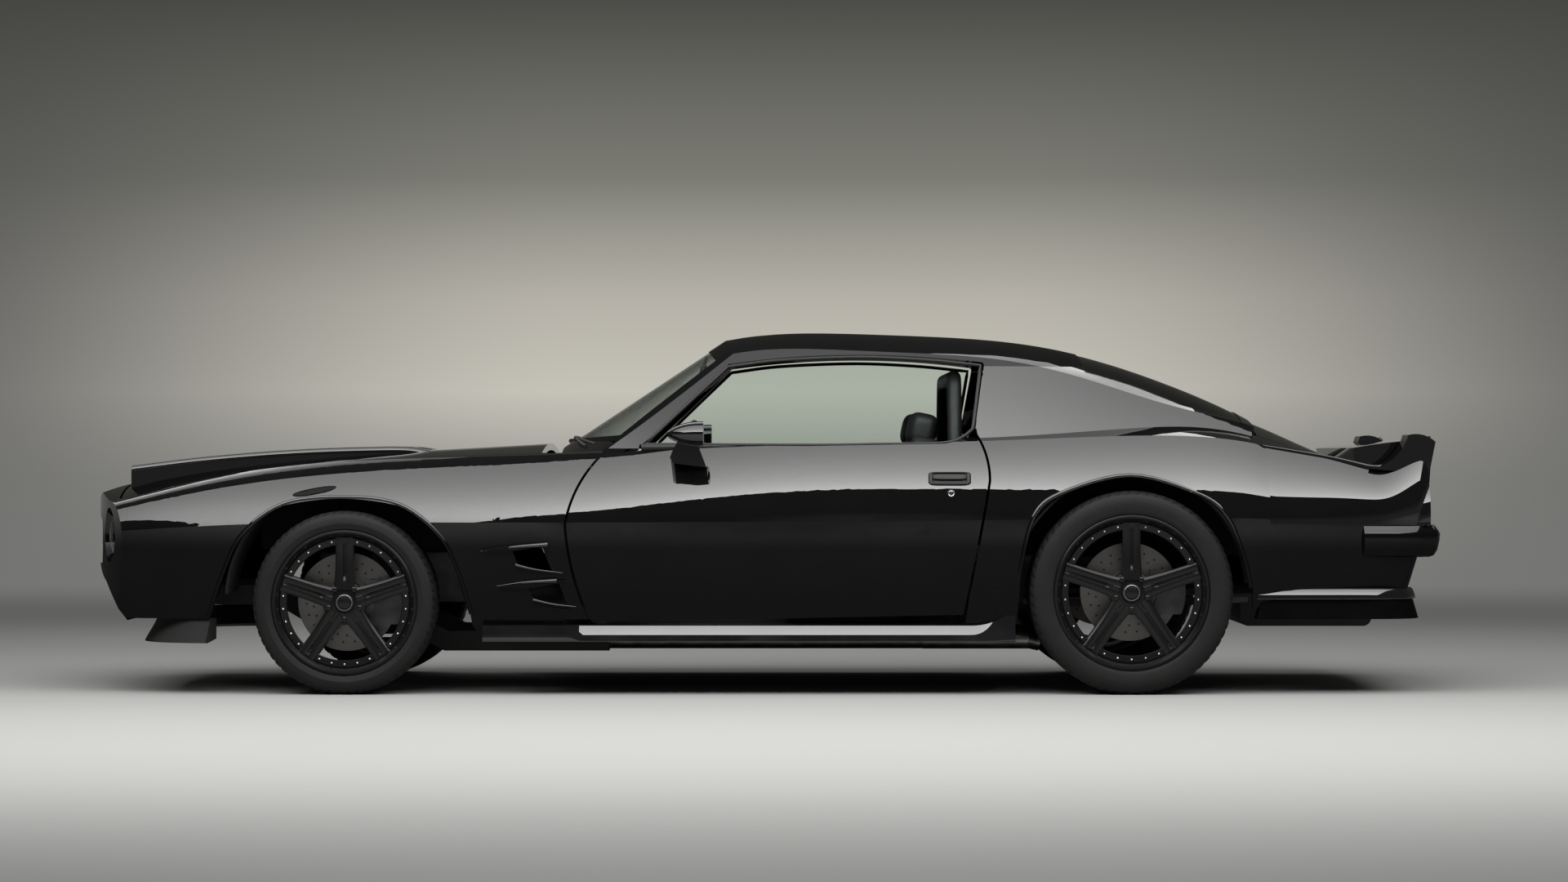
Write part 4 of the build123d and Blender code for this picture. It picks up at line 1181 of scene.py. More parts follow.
@dataclass
class Spline:
    """Natural cubic line through a table whose first column is the place.

    The second slopes solve the usual three-term equations, with none at either end.
    """

    table: Sequence[Sequence[float]]
    places: np.ndarray = field(init=False)
    values: np.ndarray = field(init=False)
    bend: np.ndarray = field(init=False)

    def __post_init__(self) -> None:
        """Solve for the second slopes."""
        rows = np.asarray(self.table, float)
        self.places, self.values = rows[:, 0], rows[:, 1:]
        gap = np.diff(self.places)
        inner = np.arange(1, len(rows) - 1)
        matrix = np.eye(len(rows))
        matrix[inner, inner - 1] = gap[:-1]
        matrix[inner, inner] = 2.0 * (gap[:-1] + gap[1:])
        matrix[inner, inner + 1] = gap[1:]
        right = np.zeros_like(self.values)
        right[1:-1] = 6.0 * np.diff(np.diff(self.values, axis=0) / gap[:, None], axis=0)
        self.bend = np.linalg.solve(matrix, right)

    def at(self, place: np.ndarray) -> np.ndarray:
        """Values at places.

        Args:
            place: places of any shape.

        Returns:
            The table's columns as the first axis, over the places' shape.
        """
        place = np.asarray(place, float)
        k = np.clip(np.searchsorted(self.places, place) - 1, 0, len(self.places) - 2)
        gap = (self.places[k + 1] - self.places[k])[..., None]
        left = (self.places[k + 1] - place)[..., None]
        right = (place - self.places[k])[..., None]
        curve = (self.bend[k] * left**3 + self.bend[k + 1] * right**3) / (6.0 * gap)
        curve += (self.values[k] / gap - self.bend[k] * gap / 6.0) * left
        curve += (self.values[k + 1] / gap - self.bend[k + 1] * gap / 6.0) * right
        return np.moveaxis(curve, -1, 0)


def bowed_side(z: np.ndarray, foot: tuple[Any, Any], top: tuple[Any, Any], bulge: float) -> np.ndarray:
    """Half width at a height on a chord that bows outwards.

    The chord from foot to top is pushed along its outward normal by 4 * bulge * s * (1 - s). The share s
    follows from the height by solving that formula's vertical part, which is quadratic in s.

    Args:
        z: heights.
        foot: (half width, height) of the lower end.
        top: (half width, height) of the upper end.
        bulge: most that the bow stands off its chord.

    Returns:
        Half widths.
    """
    least = 1e-6
    run, rise = top[0] - foot[0], top[1] - foot[1]
    length = np.hypot(run, rise)
    lift = 4.0 * bulge * -run / length
    lift = np.where(np.abs(lift) < least, least, lift)
    inside = np.maximum((rise + lift) ** 2 - 4.0 * lift * (z - foot[1]), 0.0)
    s = ((rise + lift) - np.sqrt(inside)) / (2.0 * lift)
    return foot[0] + run * s + 4.0 * bulge * rise / length * s * (1.0 - s)


@dataclass
class BodySkin:
    """Outer skin of the body side and of the cabin side, from the stations of the panels.

    The body's columns are place, sill half width, then half width and height of the crease and of the
    shoulder. The cabin's are place, foot half width, rail half width and rail height.
    """

    body: Spline = field(default_factory=lambda: Spline([
        (-2.300, 0.725, 0.782, 0.566, 0.622, 0.672), (-1.900, 0.820, 0.885, 0.590, 0.690, 0.765),
        (-1.467, 0.865, 0.926, 0.600, 0.712, 0.813), (-1.000, 0.870, 0.926, 0.600, 0.725, 0.829),
        (-0.690, 0.872, 0.924, 0.600, 0.740, 0.838), (0.040, 0.878, 0.926, 0.603, 0.800, 0.868),
        (0.770, 0.878, 0.928, 0.608, 0.800, 0.884), (1.276, 0.878, 0.932, 0.615, 0.790, 0.902),
        (1.750, 0.850, 0.905, 0.612, 0.762, 0.868), (2.050, 0.8035, 0.857, 0.606, 0.740, 0.817),
        (2.330, 0.760, 0.812, 0.600, 0.720, 0.770),
    ]))
    cabin: Spline = field(default_factory=lambda: Spline([
        (-0.760, 0.770, 0.560, 1.192), (-0.100, 0.800, 0.572, 1.197), (0.300, 0.806, 0.582, 1.206),
        (0.780, 0.800, 0.576, 1.180), (1.051, 0.790, 0.566, 1.130), (1.341, 0.765, 0.572, 1.040),
        (1.640, 0.738, 0.590, 0.962), (1.780, 0.725, 0.598, 0.915),
    ]))
    sill_z: float = 0.190
    lower_bulge: float = 0.010
    upper_bulge: float = 0.034
    cabin_foot_z: float = 0.800
    cabin_bulge: float = 0.014

    def side(self, x: np.ndarray, z: np.ndarray) -> np.ndarray:
        """Half width of the body.

        Args:
            x: places along the car.
            z: heights.

        Returns:
            Half widths.
        """
        sill, crease, crease_z, shoulder, shoulder_z = self.body.at(x)
        bend, top = (crease, crease_z), (shoulder, shoulder_z)
        low = bowed_side(np.minimum(z, crease_z), (sill, self.sill_z), bend, self.lower_bulge)
        high = bowed_side(np.maximum(z, crease_z), bend, top, self.upper_bulge)
        return np.where(z < crease_z, low, high)

    def cabin_side(self, x: np.ndarray, z: np.ndarray) -> np.ndarray:
        """Half width of the cabin at places along it and heights."""
        foot, rail, rail_z = self.cabin.at(x)
        return bowed_side(z, (foot, self.cabin_foot_z), (rail, rail_z), self.cabin_bulge)


SKIN = BodySkin()


def pad_on_side(
    middle: Pair, half: Pair, rise: float, power: float, dish: float = 0.0, slope: float = 0.0,
) -> Surface:
    """Low rounded pad on the left side of the body.

    Its outline is a superellipse. The face stands off the skin by rise * (1 - r^12), less a dish inside
    r = 0.86, and a back row sinks into the skin to close it.

    Args:
        middle: place along the car and height.
        half: half length and half height.
        rise: how far the face stands off the skin.
        power: squareness of the outline, 2 for an ellipse.
        dish: depth of the hollow in the face.
        slope: rise of its middle line towards the tail.

    Returns:
        A closed pad.
    """
    rows, sunk = 18, 0.006
    r = np.concatenate([np.linspace(0.0, 1.0, rows), [1.0, 0.0]])[:, None]
    on_back = (np.arange(rows + 2) >= rows)[:, None]
    turn = np.linspace(0.0, math.tau, 64, endpoint=False)[None, :]
    ahead, above = (np.sign(v) * np.abs(v) ** (2.0 / power) for v in (np.cos(turn), np.sin(turn)))
    x = middle[0] + half[0] * r * ahead
    z = middle[1] + half[1] * r * above + slope * (x - middle[0])
    hollow = dish * np.clip((0.86 - r) / 0.1, 0.0, 1.0)
    off = np.where(on_back, -sunk, rise * (1.0 - r**12) - hollow)
    return Surface.grid(np.stack([x, -(SKIN.side(x, z) + off), z], axis=-1), wrap_v=True)


def bar_on_side(
    points: Sequence[Pair], radius: Pair, out: Pair, flat: float = 1.0, steps: int = 8,
) -> Surface:
    """Bar that follows a line on the left side of the body.

    Args:
        points: (place along the car, height) of the line.
        radius: first and last radius.
        out: how far its middle stands off the skin, first and last.
        flat: height over width of its section.
        steps: points per span.

    Returns:
        A closed bar.
    """
    x, z = smooth_line(points, steps).T
    off, size = (np.linspace(*ends, len(x)) for ends in (out, radius))
    return tube(np.stack([x, -(SKIN.side(x, z) + off), z], axis=-1), size, 12, flat)


def bar_on_cabin(line: np.ndarray, inset: float, radius: Any, sides: int) -> Surface:
    """Bar that follows a line on the left side of the cabin.

    Args:
        line: (place along the car, height) of the line.
        inset: how far its middle lies inside the skin.
        radius: one radius or one for each point.
        sides: points round the bar.

    Returns:
        A closed bar.
    """
    x, z = line.T
    return tube(np.stack([x, -(SKIN.cabin_side(x, z) - inset), z], axis=-1), radius, sides)


def panel_on_side(front: np.ndarray, rear: Any, z: np.ndarray, columns: int, inset: float = 0.0) -> Surface:
    """Closed panel on the left side of the body, between two upright edges.

    Args:
        front: place of the front edge at each height.
        rear: place of the rear edge, one or one at each height.
        z: heights, an array (1, rows).
        columns: points along the car.
        inset: how far it lies inside the skin.

    Returns:
        The panel, 14 mm thick.
    """
    thick = 0.014
    x = front + (rear - front) * np.linspace(0.0, 1.0, columns)[:, None]
    return upright_sheet(x, SKIN.side(x, np.broadcast_to(z, x.shape)) - inset, z, thick)


@dataclass
class BodyFittings:
    """Side trim: door fittings, markers, vent blades, skirts, arch lips, foot panels and splash shields."""

    handle_at: Pair = (0.642, 0.753)
    handle_half: Pair = (0.075, 0.0235)
    pull_half: Pair = (0.064, 0.0105)
    pull_up: float = 0.006
    lock_at: Pair = (0.647, 0.702)
    lock_radius: float = 0.0125
    marker_at: Pair = (-1.575, 0.709)
    marker_half: Pair = (0.076, 0.011)
    marker_slope: float = 0.18
    skirt_from: float = -0.984
    skirt_to: float = 0.871
    skirt_foot_z: float = 0.184
    skirt_height: float = 0.058
    skirt_lift: float = 0.055
    ledge_from: float = -0.650
    arch_grow: float = 1.012
    foot_rear: float = -0.703

    def build(self) -> None:
        """Build and dress every fitting of the sides."""
        self.door_fittings("left", False)
        self.door_fittings("right", True)
        make_piece("side_markers", both(self.marker()), "root", SMOKED, crease=60.0)
        make_piece("vent_blades", both(self.blades()), "root", LEDGE_PAINT, crease=70.0)
        make_piece("skirt_skins", both(self.skirt()), "root", LEDGE_PAINT, ["side_skirts"], 30.0)
        make_piece("arch_lips", both(self.arch_lips()), "root", BLACK_PAINT, crease=70.0)
        make_piece("sill_feet", both(self.sill_foot()), "root", BLACK_PAINT)
        make_piece("fender_feet", both(self.fender_foot()), "root", BLACK_PAINT)
        make_piece("splash_shields", both(self.splash_shield()), "root", LINER)

    def door_fittings(self, name: str, flip: bool) -> None:
        """Handle, lock, belt strip and window seal of one door.

        Args:
            name: which door, left or right.
            flip: whether the left-hand surfaces are mirrored for it.
        """
        pull_at = (self.handle_at[0], self.handle_at[1] + self.pull_up)
        plate = pad_on_side(self.handle_at, self.handle_half, 0.011, 7.0, 0.009)
        pull = pad_on_side(pull_at, self.pull_half, 0.0125, 6.0)
        lock = pad_on_side(self.lock_at, (self.lock_radius, self.lock_radius), 0.004, 2.0, 0.003)
        for piece, left, slot, finish in (
            ("handle_plate", Surface.joined([plate, pull]), Slot.TRIM, BLACK_TRIM),
            ("door_lock", lock, Slot.DISC, CHROME),
            ("belt_strip", self.belt_strip(), Slot.TRIM, BLACK_TRIM),
            ("window_seal", self.window_seal(), Slot.TRIM, BLACK_TRIM),
        ):
            surface = left.mirrored() if flip else left
            make_piece(f"{piece}_{name}", surface, f"door_{name}", finish, crease=60.0)

    @staticmethod
    def window_seal() -> Surface:
        """Dark seal round the door glass, a round bar on the cabin's side.

        Returns:
            The left seal.
        """
        top_front, top_rear = (-0.135, 1.147), (0.762, 1.152)
        foot_front, foot_rear = (-0.424, 0.872), (0.729, 0.926)
        spans = (
            ([top_front, (0.05, 1.170), (0.325, 1.181), (0.56, 1.172), top_rear], 8),
            ([top_rear, (0.746, 1.040), foot_rear], 6),
            ([foot_rear, (0.690, 0.896), (0.620, 0.8765), (0.40, 0.872), (0.150, 0.869), foot_front], 6),
            ([foot_front, (-0.28, 1.010), top_front], 8),
        )
        first, *others = (smooth_line(points, steps) for points, steps in spans)
        return bar_on_cabin(np.concatenate([first, *(line[1:] for line in others)]), 0.002, 0.0065, 10)

    @staticmethod
    def belt_strip() -> Surface:
        """Dark strip between the left door's upper edge and the foot of its glass, thinner to the rear."""
        line = smooth_line([(-0.436, 0.860), (-0.36, 0.861), (-0.25, 0.863), (-0.10, 0.865)], 8)
        return bar_on_cabin(line, 0.006, np.linspace(0.014, 0.008, len(line)), 12)

    def marker(self) -> Surface:
        """Dark slanted marker slit on the left front fender."""
        return pad_on_side(self.marker_at, self.marker_half, 0.004, 2.3, 0.003, self.marker_slope)

    @staticmethod
    def blades() -> Surface:
        """Blades above and lips below the two vents behind the front wheel, tapering.

        Returns:
            The left side's four bars.
        """
        blade_out, lip_radius, lip_out = (-0.002, 0.010), (0.012, 0.004), (0.005, -0.001)
        rows = (
            ([(-0.990, 0.500), (-0.88, 0.514), (-0.756, 0.523)], (0.003, 0.017), blade_out),
            ([(-0.936, 0.378), (-0.84, 0.391), (-0.725, 0.398)], (0.003, 0.016), blade_out),
            ([(-0.870, 0.452), (-0.80, 0.436), (-0.706, 0.424)], lip_radius, lip_out),
            ([(-0.810, 0.331), (-0.74, 0.315), (-0.660, 0.306)], lip_radius, lip_out),
        )
        return Surface.joined([bar_on_side(points, radius, out, 0.6) for points, radius, out in rows])

    def skirt(self) -> Surface:
        """Left skirt: a sloping ledge over an under-cut edge.

        Ahead of the door it stands upright, and its rear end is lifted. A section's rows are the half width
        on the ledge, the half width ahead of it, and the height.

        Returns:
            The closed skirt.
        """
        ledge, upright, height = np.array([
            (0.862, 0.862, 0.242), (0.902, 0.918, 0.243), (0.909, 0.924, 0.2405), (0.9145, 0.9275, 0.228),
            (0.921, 0.929, 0.211), (0.926, 0.9295, 0.197), (0.9285, 0.929, 0.189), (0.928, 0.928, 0.1855),
            (0.920, 0.920, 0.184), (0.862, 0.862, 0.184),
        ]).T
        x = np.linspace(self.skirt_from, self.skirt_to, 150)[:, None]
        up = np.clip((x - 0.72) / 0.15, 0.0, 1.0) ** 2 * self.skirt_lift
        ahead = np.clip((self.ledge_from - x) / 0.012, 0.0, 1.0)
        y = -(ledge * (1.0 - ahead) + upright * ahead - up * 0.35)
        z = height + up * (height - self.skirt_foot_z) / self.skirt_height
        return Surface.swept(np.stack([np.broadcast_to(x, y.shape), y, z], axis=-1))

    def arch_lips(self) -> Surface:
        """Rolled lips along both left wheel arches, grown a little about the axles.

        Returns:
            The two lips.
        """
        front = [
            (-1.942, 0.272), (-1.885, 0.430), (-1.819, 0.557), (-1.680, 0.659), (-1.480, 0.683),
            (-1.280, 0.659), (-1.141, 0.557), (-1.075, 0.430), (-1.030, 0.282),
        ]
        rear = [
            (0.890, 0.430), (0.935, 0.612), (1.029, 0.696), (1.270, 0.759), (1.497, 0.699), (1.600, 0.625),
            (1.660, 0.490), (1.688, 0.376),
        ]
        radius, out = (0.008, 0.008), (-0.003, -0.003)
        bars = []
        for wheel, outline in ((WHEELS[0], front), (WHEELS[2], rear)):
            middle = np.array([wheel.axle_x, wheel.axle_z])
            grown = middle + (np.array(outline) - middle) * self.arch_grow
            bars.append(bar_on_side(grown, radius, out, 1.0, 6))
        return Surface.joined(bars)

    def fender_foot(self) -> Surface:
        """Foot of the left front fender down to the skirt, its front edge curving with the wheel arch.

        Returns:
            The closed panel.
        """
        z = np.linspace(0.205, 0.300, 10)[None, :]
        curl = np.clip((0.250 - z) / 0.045, 0.0, 1.0) ** 2 * 0.035
        return panel_on_side(-1.016 - (z - 0.205) * 0.16 + curl, self.foot_rear, z, 24, 0.001)

    @staticmethod
    def sill_foot() -> Surface:
        """Panel between the left door's lower corner, the skirt and the rear wheel arch."""
        z = np.linspace(0.246, 0.3695, 10)[None, :]
        return panel_on_side(0.696 + (z - 0.246) * 0.16, 0.8755 + (z - 0.246) * 0.085, z, 14)

    @staticmethod
    def splash_shield() -> Surface:
        """Dark bowed shield between the left front wheel and the engine bay.

        Returns:
            The closed shield.
        """
        z = np.linspace(0.50, 0.70, 8)[None, :]
        u = np.linspace(0.0, 1.0, 20)[:, None] + 0.0 * z
        return upright_sheet(-1.80 + 0.66 * u, 0.475 + 0.02 * np.sin(math.pi * u), z, 0.006)


@dataclass
class Tail:
    """Rear end: bumper blade, apron ledge, the wings that end in the spoiler and the lower corners."""

    spoiler_from: float = 1.720
    spoiler_to: float = 2.345
    skin_end: float = 2.330
    inner_y: float = 0.640
    foot_z: float = 0.362
    arm_y: float = 0.42
    arm_z: float = 0.53
    corner_from: float = 2.045
    corner_end: float = 2.326
    corner_round: float = 0.035
    corner_heights: Pair = (0.352, 0.604)
    corner_inner_y: float = 0.60
    corner_thick: float = 0.012

    def build(self) -> None:
        """Build and dress the tail's pieces."""
        make_piece("bumper_blade", self.bumper(), "root", BLACK_PAINT, ["rear_bumper"], 28.0)
        make_piece("apron_ledge", self.ledge(), "root", LEDGE_PAINT)
        make_piece("rear_wing_skins", both(self.wing()), "root", BLACK_PAINT, crease=35.0)
        make_piece("tail_corners", both(self.corner()), "root", BLACK_PAINT)

    def bumper(self) -> Surface:
        """Blade bumper with a bevelled top and a cut-back foot, on two short arms.

        Returns:
            Blade and arms.
        """
        plan = mirrored_plan([
            (2.092, -0.868), (2.200, -0.860), (2.290, -0.838), (2.338, -0.805), (2.368, -0.760),
            (2.403, -0.500), (2.423, -0.250), (2.4295, 0.0),
        ], 6)
        blade = carried_round(plan, [
            (-0.045, 0.582), (-0.030, 0.5895), (-0.018, 0.586), (-0.004, 0.566), (0.0, 0.556),
            (-0.002, 0.536), (-0.010, 0.500), (-0.022, 0.482), (-0.045, 0.477),
        ])
        arms = []
        for y in (-self.arm_y, self.arm_y):
            path = np.array([(2.319, y, self.arm_z), (2.35, y, self.arm_z), (2.39, y, self.arm_z)])
            arms.append(tube(path, 0.02))
        return Surface.joined([blade, *arms])

    @staticmethod
    def ledge() -> Surface:
        """Sloping ledge along the top of the rear apron.

        Returns:
            The closed ledge, from wheel arch to wheel arch.
        """
        plan = mirrored_plan([
            (1.716, -0.8968), (1.900, -0.8855), (2.105, -0.8725), (2.190, -0.853), (2.252, -0.815),
            (2.288, -0.750), (2.302, -0.690), (2.322, -0.460), (2.336, -0.230), (2.340, 0.0),
        ], 6)
        return carried_round(plan, [
            (-0.036, 0.3705), (-0.026, 0.3700), (-0.0195, 0.364), (-0.0125, 0.346), (-0.0095, 0.335),
            (-0.010, 0.3315), (-0.018, 0.328), (-0.040, 0.340),
        ])

    def wing(self) -> Surface:
        """Left rear wing's skin from behind the wheel arch to the upturned end of the spoiler.

        Sections across the car follow the body's own side from the apron up to a shoulder line that lifts
        towards the tip, roll over and come down inside. The last of them draw in for a rounded corner and
        lean forwards towards the foot. The front end starts just under the panel's skin.

        Returns:
            A closed solid.
        """
        x = np.linspace(self.spoiler_from, self.spoiler_to, 96)
        on_skin = np.minimum(x, self.skin_end)
        _, crease, crease_z, shoulder, shoulder_z = SKIN.body.at(on_skin)
        lift = Spline([
            (1.70, 0.0), (1.90, 0.0), (2.02, 0.0), (2.10, -0.004), (2.17, 0.002),
            (2.22, 0.034), (2.28, 0.092), (2.32, 0.122), (2.35, 0.130),
        ])
        top = shoulder_z + lift.at(x)[0]
        z_low = self.foot_z + (crease_z - self.foot_z)[:, None] * np.linspace(0.0, 1.0, 14, endpoint=False)
        z_up = crease_z[:, None] + (top - crease_z)[:, None] * np.linspace(0.0, 1.0, 24)
        w_low = SKIN.side(np.broadcast_to(on_skin[:, None], z_low.shape), z_low)
        bend, tip = (crease[:, None], crease_z[:, None]), (shoulder[:, None], top[:, None])
        w_up = bowed_side(z_up, bend, tip, SKIN.upper_bulge)
        emerge = np.clip((x - self.spoiler_from) / 0.05, 0.0, 1.0)[:, None] * 0.0036 - 0.003
        inner, foot = np.full_like(x, self.inner_y), np.full_like(x, self.foot_z)
        y_roll = [
            shoulder - 0.010, shoulder - 0.026, inner + 0.006, inner, inner,
            crease - 0.06, w_low[:, 0] - 0.05,
        ]
        z_roll = [
            top + 0.003, top + 0.003, top - 0.004, top - 0.010, np.minimum(top - 0.05, 0.745), crease_z, foot,
        ]
        y = np.concatenate([w_low + emerge, w_up + emerge, np.stack(y_roll, axis=-1)], axis=1)
        z = np.concatenate([z_low, z_up, np.stack(z_roll, axis=-1)], axis=1)
        draw_in = np.clip((x - 2.300) / 0.045, 0.0, 1.0)[:, None] ** 2 * 0.026
        y = np.where(y > self.inner_y + 0.03, y - draw_in, y)
        rake = np.clip(0.87 - z, 0.0, 1.0) * 0.115 + np.clip(0.60 - z, 0.0, 1.0) * 0.18
        rake = rake * np.clip((x - 2.05) / 0.295, 0.0, 1.0)[:, None] ** 2
        return Surface.swept(np.stack([x[:, None] - rake, -y, z], axis=-1))

    def corner(self) -> Surface:
        """Left lower corner of the tail, behind and under the bumper.

        At each height a plan line runs along the body's side, turns a rounded corner and goes in along the
        tail; the tail's edge leans forwards towards the foot. A second skin inside closes it.

        Returns:
            A closed panel.
        """
        z = np.linspace(*self.corner_heights, 14)[None, :]
        end = self.corner_end - (self.corner_heights[1] - z) * 0.30
        start = end - self.corner_round
        side_x = self.corner_from + (start - self.corner_from) * np.linspace(0.0, 1.0, 16)[:, None]
        side_y = SKIN.side(side_x, np.broadcast_to(z, side_x.shape)) - 0.006
        edge_y = side_y[-1:]
        t = np.linspace(0.0, 1.0, 9)[1:, None]
        before, amid, after = (1 - t) ** 2, 2 * t * (1 - t), t**2
        turn_x = start * before + end * amid + end * after
        turn_y = edge_y * before + (edge_y - 0.006) * amid + (edge_y - 0.045) * after
        v = np.linspace(0.0, 1.0, 5)[1:, None]
        rear_y = (edge_y - 0.045) * (1 - v) + self.corner_inner_y * v
        x = np.concatenate([side_x, turn_x, end + 0.004 * v])
        y = np.concatenate([side_y, turn_y, rear_y])
        heights = np.broadcast_to(z, x.shape)
        inside_y = y - np.where(y > 0.7, self.corner_thick, 0.0)
        inside_x = np.minimum(x, end - self.corner_thick)
        outer = np.stack([x, -y, heights], axis=-1)
        inner = np.stack([inside_x, -inside_y, heights], axis=-1)
        return closed_sheet(outer, inner)


@dataclass
class Cushion:
    """A crowned pad: a superellipsoid with sewn channels pressed into it."""

    middle: Point
    half: Point
    lean_deg: float = 0.0
    channels: tuple[float, ...] = ()
    square: float = 0.32
    channel_half: float = 0.008
    channel_press: float = 0.10
    crown: Pair = (0.12, 0.10)

    def rounded(self, values: np.ndarray) -> np.ndarray:
        """Signed power that squares the rounding off."""
        return np.sign(values) * np.abs(values) ** self.square

    def surface(self) -> Surface:
        """Points half * (c(a) c(b), c(a) s(b), s(a)) with rounded powers, thinned at the rims and channels.

        Returns:
            The closed pad, leaning about the line across its middle.
        """
        a = np.linspace(-math.pi / 2, math.pi / 2, 48)[:, None]
        b = np.linspace(0.0, math.tau, 96, endpoint=False)[None, :]
        ring = self.rounded(np.cos(a))
        x = self.half[0] * ring * self.rounded(np.cos(b))
        y = self.half[1] * ring * self.rounded(np.sin(b))
        rims = [share * (np.abs(v) / half) ** 3 for share, v, half in zip(self.crown, (x, y), self.half)]
        thin = 1.0 - rims[0] - rims[1]
        for line in self.channels:
            thin = thin * (1.0 - self.channel_press * np.exp(-(((y - line) / self.channel_half) ** 2)))
        z = self.half[2] * self.rounded(np.sin(a)) * thin
        turn = math.radians(self.lean_deg)
        lean_x = x * math.cos(turn) + z * math.sin(turn)
        lean_z = -x * math.sin(turn) + z * math.cos(turn)
        return Surface.grid(np.stack([lean_x, y, lean_z], axis=-1) + np.asarray(self.middle), wrap_v=True)


@dataclass
class Cabin:
    """What shows through the glass: padded seats, the mirror and the wipers before the screen."""

    seat_y: float = 0.380
    ribs: tuple[float, ...] = (-0.12, -0.06, 0.0, 0.06, 0.12)
    bench_ribs: tuple[float, ...] = tuple(np.linspace(-0.45, 0.45, 13))

    def build(self) -> None:
        """Build and dress the cabin's pieces."""
        front = [pad for y in (-self.seat_y, self.seat_y) for pad in self.bucket(y)]
        self.padded("front_seat_pads", front, "front_seats")
        bench = [
            Cushion((0.895, 0.0, 0.385), (0.170, 0.535, 0.125), -4.0, self.bench_ribs),
            Cushion((1.045, 0.0, 0.620), (0.200, 0.535, 0.070), -68.0, self.bench_ribs),
        ]
        self.padded("rear_seat_pads", bench, "rear_seat")
        mirror = Cushion((-0.232, 0.0, 1.140), (0.012, 0.110, 0.028), 10.0, square=0.5).surface()
        stem = tube(np.array([(-0.232, 0.0, 1.15), (-0.226, 0.0, 1.172), (-0.218, 0.0, 1.196)]), 0.006, 8)
        make_piece("inner_mirror", Surface.joined([mirror, stem]), "root", BLACK_TRIM)
        make_piece("wipers", self.wipers(), "root", BLACK_TRIM)

    def bucket(self, y: float) -> list[Cushion]:
        """Plinth, cushion, back and head roll of one front seat.

        Args:
            y: the seat's middle across the car.

        Returns:
            Its pads from the floor up.
        """
        return [
            Cushion((0.280, y, 0.290), (0.215, 0.195, 0.072), square=0.2),
            Cushion((0.270, y, 0.425), (0.245, 0.222, 0.085), -6.0, self.ribs),
            Cushion((0.520, y, 0.655), (0.250, 0.215, 0.068), -78.0, self.ribs),
            Cushion((0.560, y, 0.925), (0.060, 0.150, 0.055), -78.0, square=0.5),
        ]

    @staticmethod
    def padded(name: str, pads: Sequence[Cushion], node: str) -> None:
        """Make one padded piece that stands for a seat node.

        Args:
            name: piece name.
            pads: its cushions.
            node: the seat node.
        """
        surface = Surface.joined([pad.surface() for pad in pads])
        piece = make_piece(name, surface, "root", LEATHER, [node], 60.0)

    @staticmethod
    def wipers() -> Surface:
        """Two arms and blades lying along the foot of the windscreen.

        A blade's line bends back and down with the square of its place across the car, as the screen's
        foot does.

        Returns:
            The four bars.
        """
        parts = []
        for ends in ((-0.56, -0.02), (0.02, 0.56)):
            y = np.linspace(*ends, 14)
            blade = np.stack([-0.700 + 0.16 * (y / 0.735) ** 2, y, 0.897 - 0.030 * (y / 0.6) ** 2], axis=-1)
            ahead, below = np.linspace(0.022, 0.004, 8), np.linspace(0.010, -0.004, 8)
            off = np.stack([ahead, np.zeros(8), below], axis=-1)
            parts.append(tube(blade, 0.006, 8, 1.4))
            parts.append(tube(blade[1:9] - off, np.linspace(0.008, 0.004, 8), 8))
        return Surface.joined(parts)


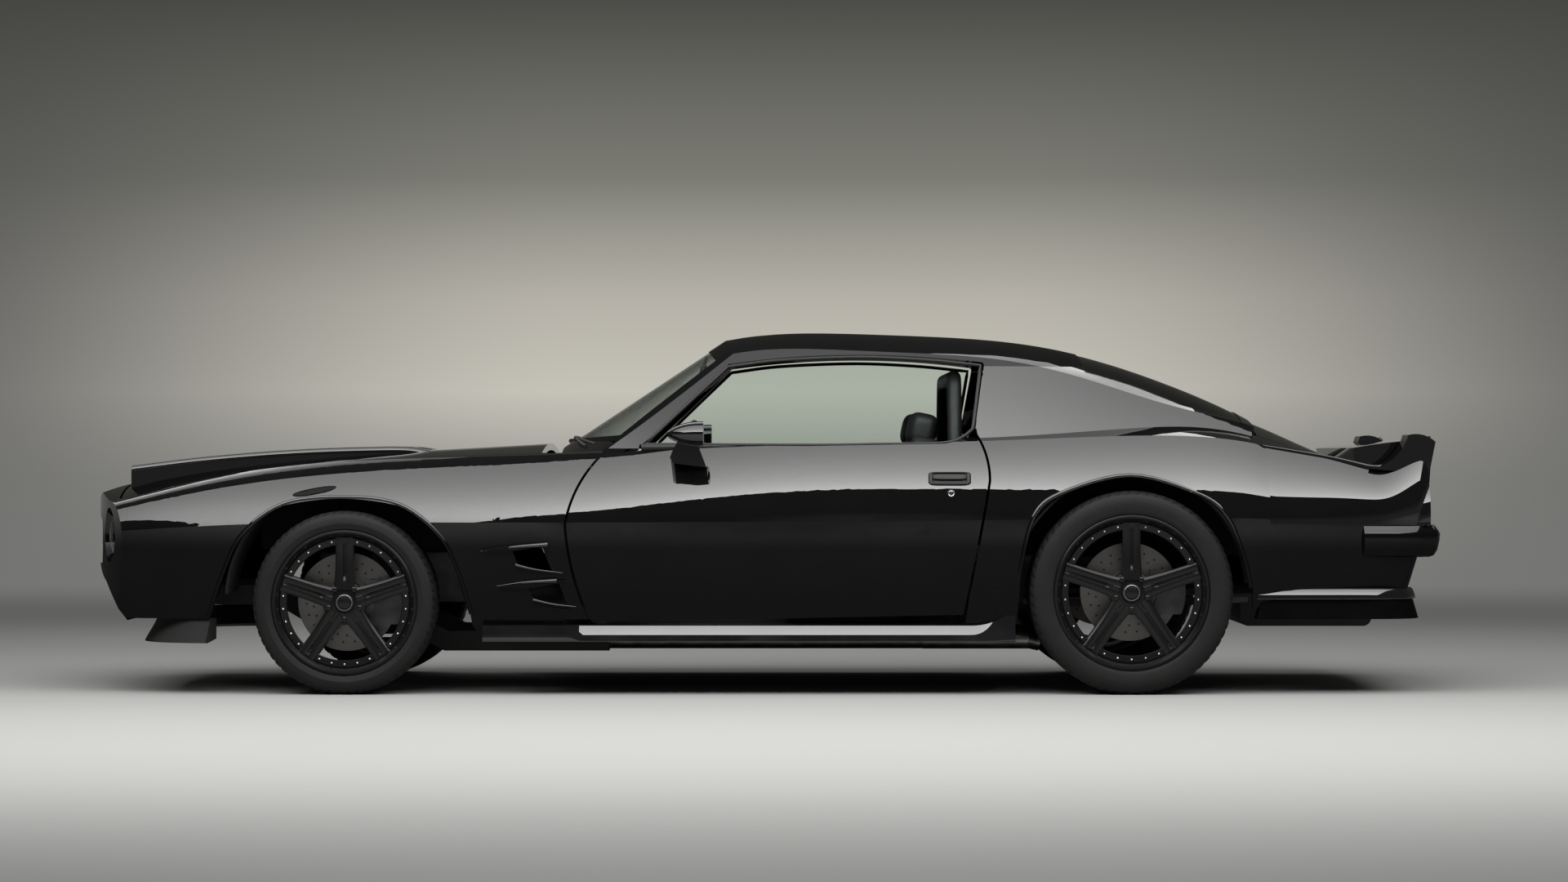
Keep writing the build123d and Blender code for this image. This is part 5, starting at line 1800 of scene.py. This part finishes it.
@dataclass
class Nose:
    """Front end: chin blade, the scoops' rounded edges and the lamps' reflectors."""

    lamp_y: float = 0.610
    lamp_z: float = 0.552
    lamp_steps: int = 48
    scoop_inner: float = 0.185
    scoop_outer: float = 0.352
    scoop_round: float = 0.016
    scoop_proud: float = 0.0006

    def build(self) -> None:
        """Build and dress the nose's pieces."""
        make_piece("chin_blade", self.chin(), "root", LINER, ["chin_spoiler"], 30.0)
        make_piece("scoop_edges", both(self.scoop_edges()), "hood", BLACK_PAINT, crease=70.0)
        bowls = [self.bowl(y) for y in (-self.lamp_y, self.lamp_y)]
        make_piece("lamp_bowls", Surface.joined(bowls), "root", CHROME, crease=60.0)

    @staticmethod
    def chin() -> Surface:
        """Chin blade: a wedge with its sharp edge low and forward, carried round the nose.

        Returns:
            The closed blade.
        """
        plan = mirrored_plan([
            (-1.955, 0.862), (-2.030, 0.842), (-2.105, 0.795), (-2.160, 0.725), (-2.195, 0.630),
            (-2.220, 0.440), (-2.237, 0.220), (-2.243, 0.0),
        ], 6)
        return carried_round(plan, [
            (0.0, 0.1775), (-0.004, 0.186), (-0.030, 0.230), (-0.046, 0.2615), (-0.110, 0.2615),
            (-0.110, 0.190), (-0.020, 0.1765),
        ])

    def scoop_edges(self) -> Surface:
        """Rounded upper edges of the left hood scoop, as bars along its two top corners.

        Returns:
            The two bars.
        """
        x, z = smooth_line([
            (-2.281, 0.7963), (-2.050, 0.8248), (-1.813, 0.846), (-1.600, 0.8584), (-1.400, 0.864),
            (-1.300, 0.864), (-1.240, 0.8565), (-1.190, 0.8445),
        ], 10).T
        bars = []
        for y in (-self.scoop_outer + self.scoop_round, -self.scoop_inner - self.scoop_round):
            path = np.stack([x, np.full_like(x, y), z - self.scoop_round], axis=-1)
            bars.append(tube(path, self.scoop_round + self.scoop_proud, 32))
        return Surface.joined(bars)

    def bowl(self, middle_y: float) -> Surface:
        """One reflector: a shallow dish turned about the car's length, with a bulb cap in its middle.

        Args:
            middle_y: its middle across the car.

        Returns:
            The closed dish.
        """
        radius, x = np.array([
            (0.090, -2.2745), (0.080, -2.2735), (0.060, -2.260), (0.035, -2.250), (0.020, -2.248),
            (0.018, -2.262), (0.010, -2.268), (0.0, -2.269), (0.0, -2.240), (0.092, -2.240),
        ]).T
        turn = np.linspace(0.0, math.tau, self.lamp_steps, endpoint=False)[:, None]
        y = middle_y + radius * np.cos(turn)
        z = self.lamp_z + radius * np.sin(turn)
        return Surface.grid(np.stack([np.broadcast_to(x, y.shape), y, z], axis=-1), wrap_u=True, wrap_v=True)


FRONT_WHEEL = {"axle_x": -1.467, "axle_z": 0.320, "middle_y": 0.790, "half": 0.122, "lip": 0.252}
REAR_WHEEL = {"axle_x": 1.276, "axle_z": 0.355, "middle_y": 0.775, "half": 0.150, "lip": 0.270}
WHEELS = [
    Wheel("fl", side=-1.0, **FRONT_WHEEL), Wheel("fr", side=1.0, **FRONT_WHEEL),
    Wheel("rl", side=-1.0, **REAR_WHEEL), Wheel("rr", side=1.0, **REAR_WHEEL),
]


def main() -> None:
    """Build the stage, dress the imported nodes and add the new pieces."""
    logging.basicConfig(level=logging.INFO, format="%(message)s")
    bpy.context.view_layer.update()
    bpy.context.scene.view_settings.view_transform = "Standard"
    Studio().build()
    CarShell().dress()
    for wheel in WHEELS:
        wheel.build()
    BodyFittings().build()
    Tail().build()
    Cabin().build()
    Nose().build()


if __name__ == "__main__":
    main()
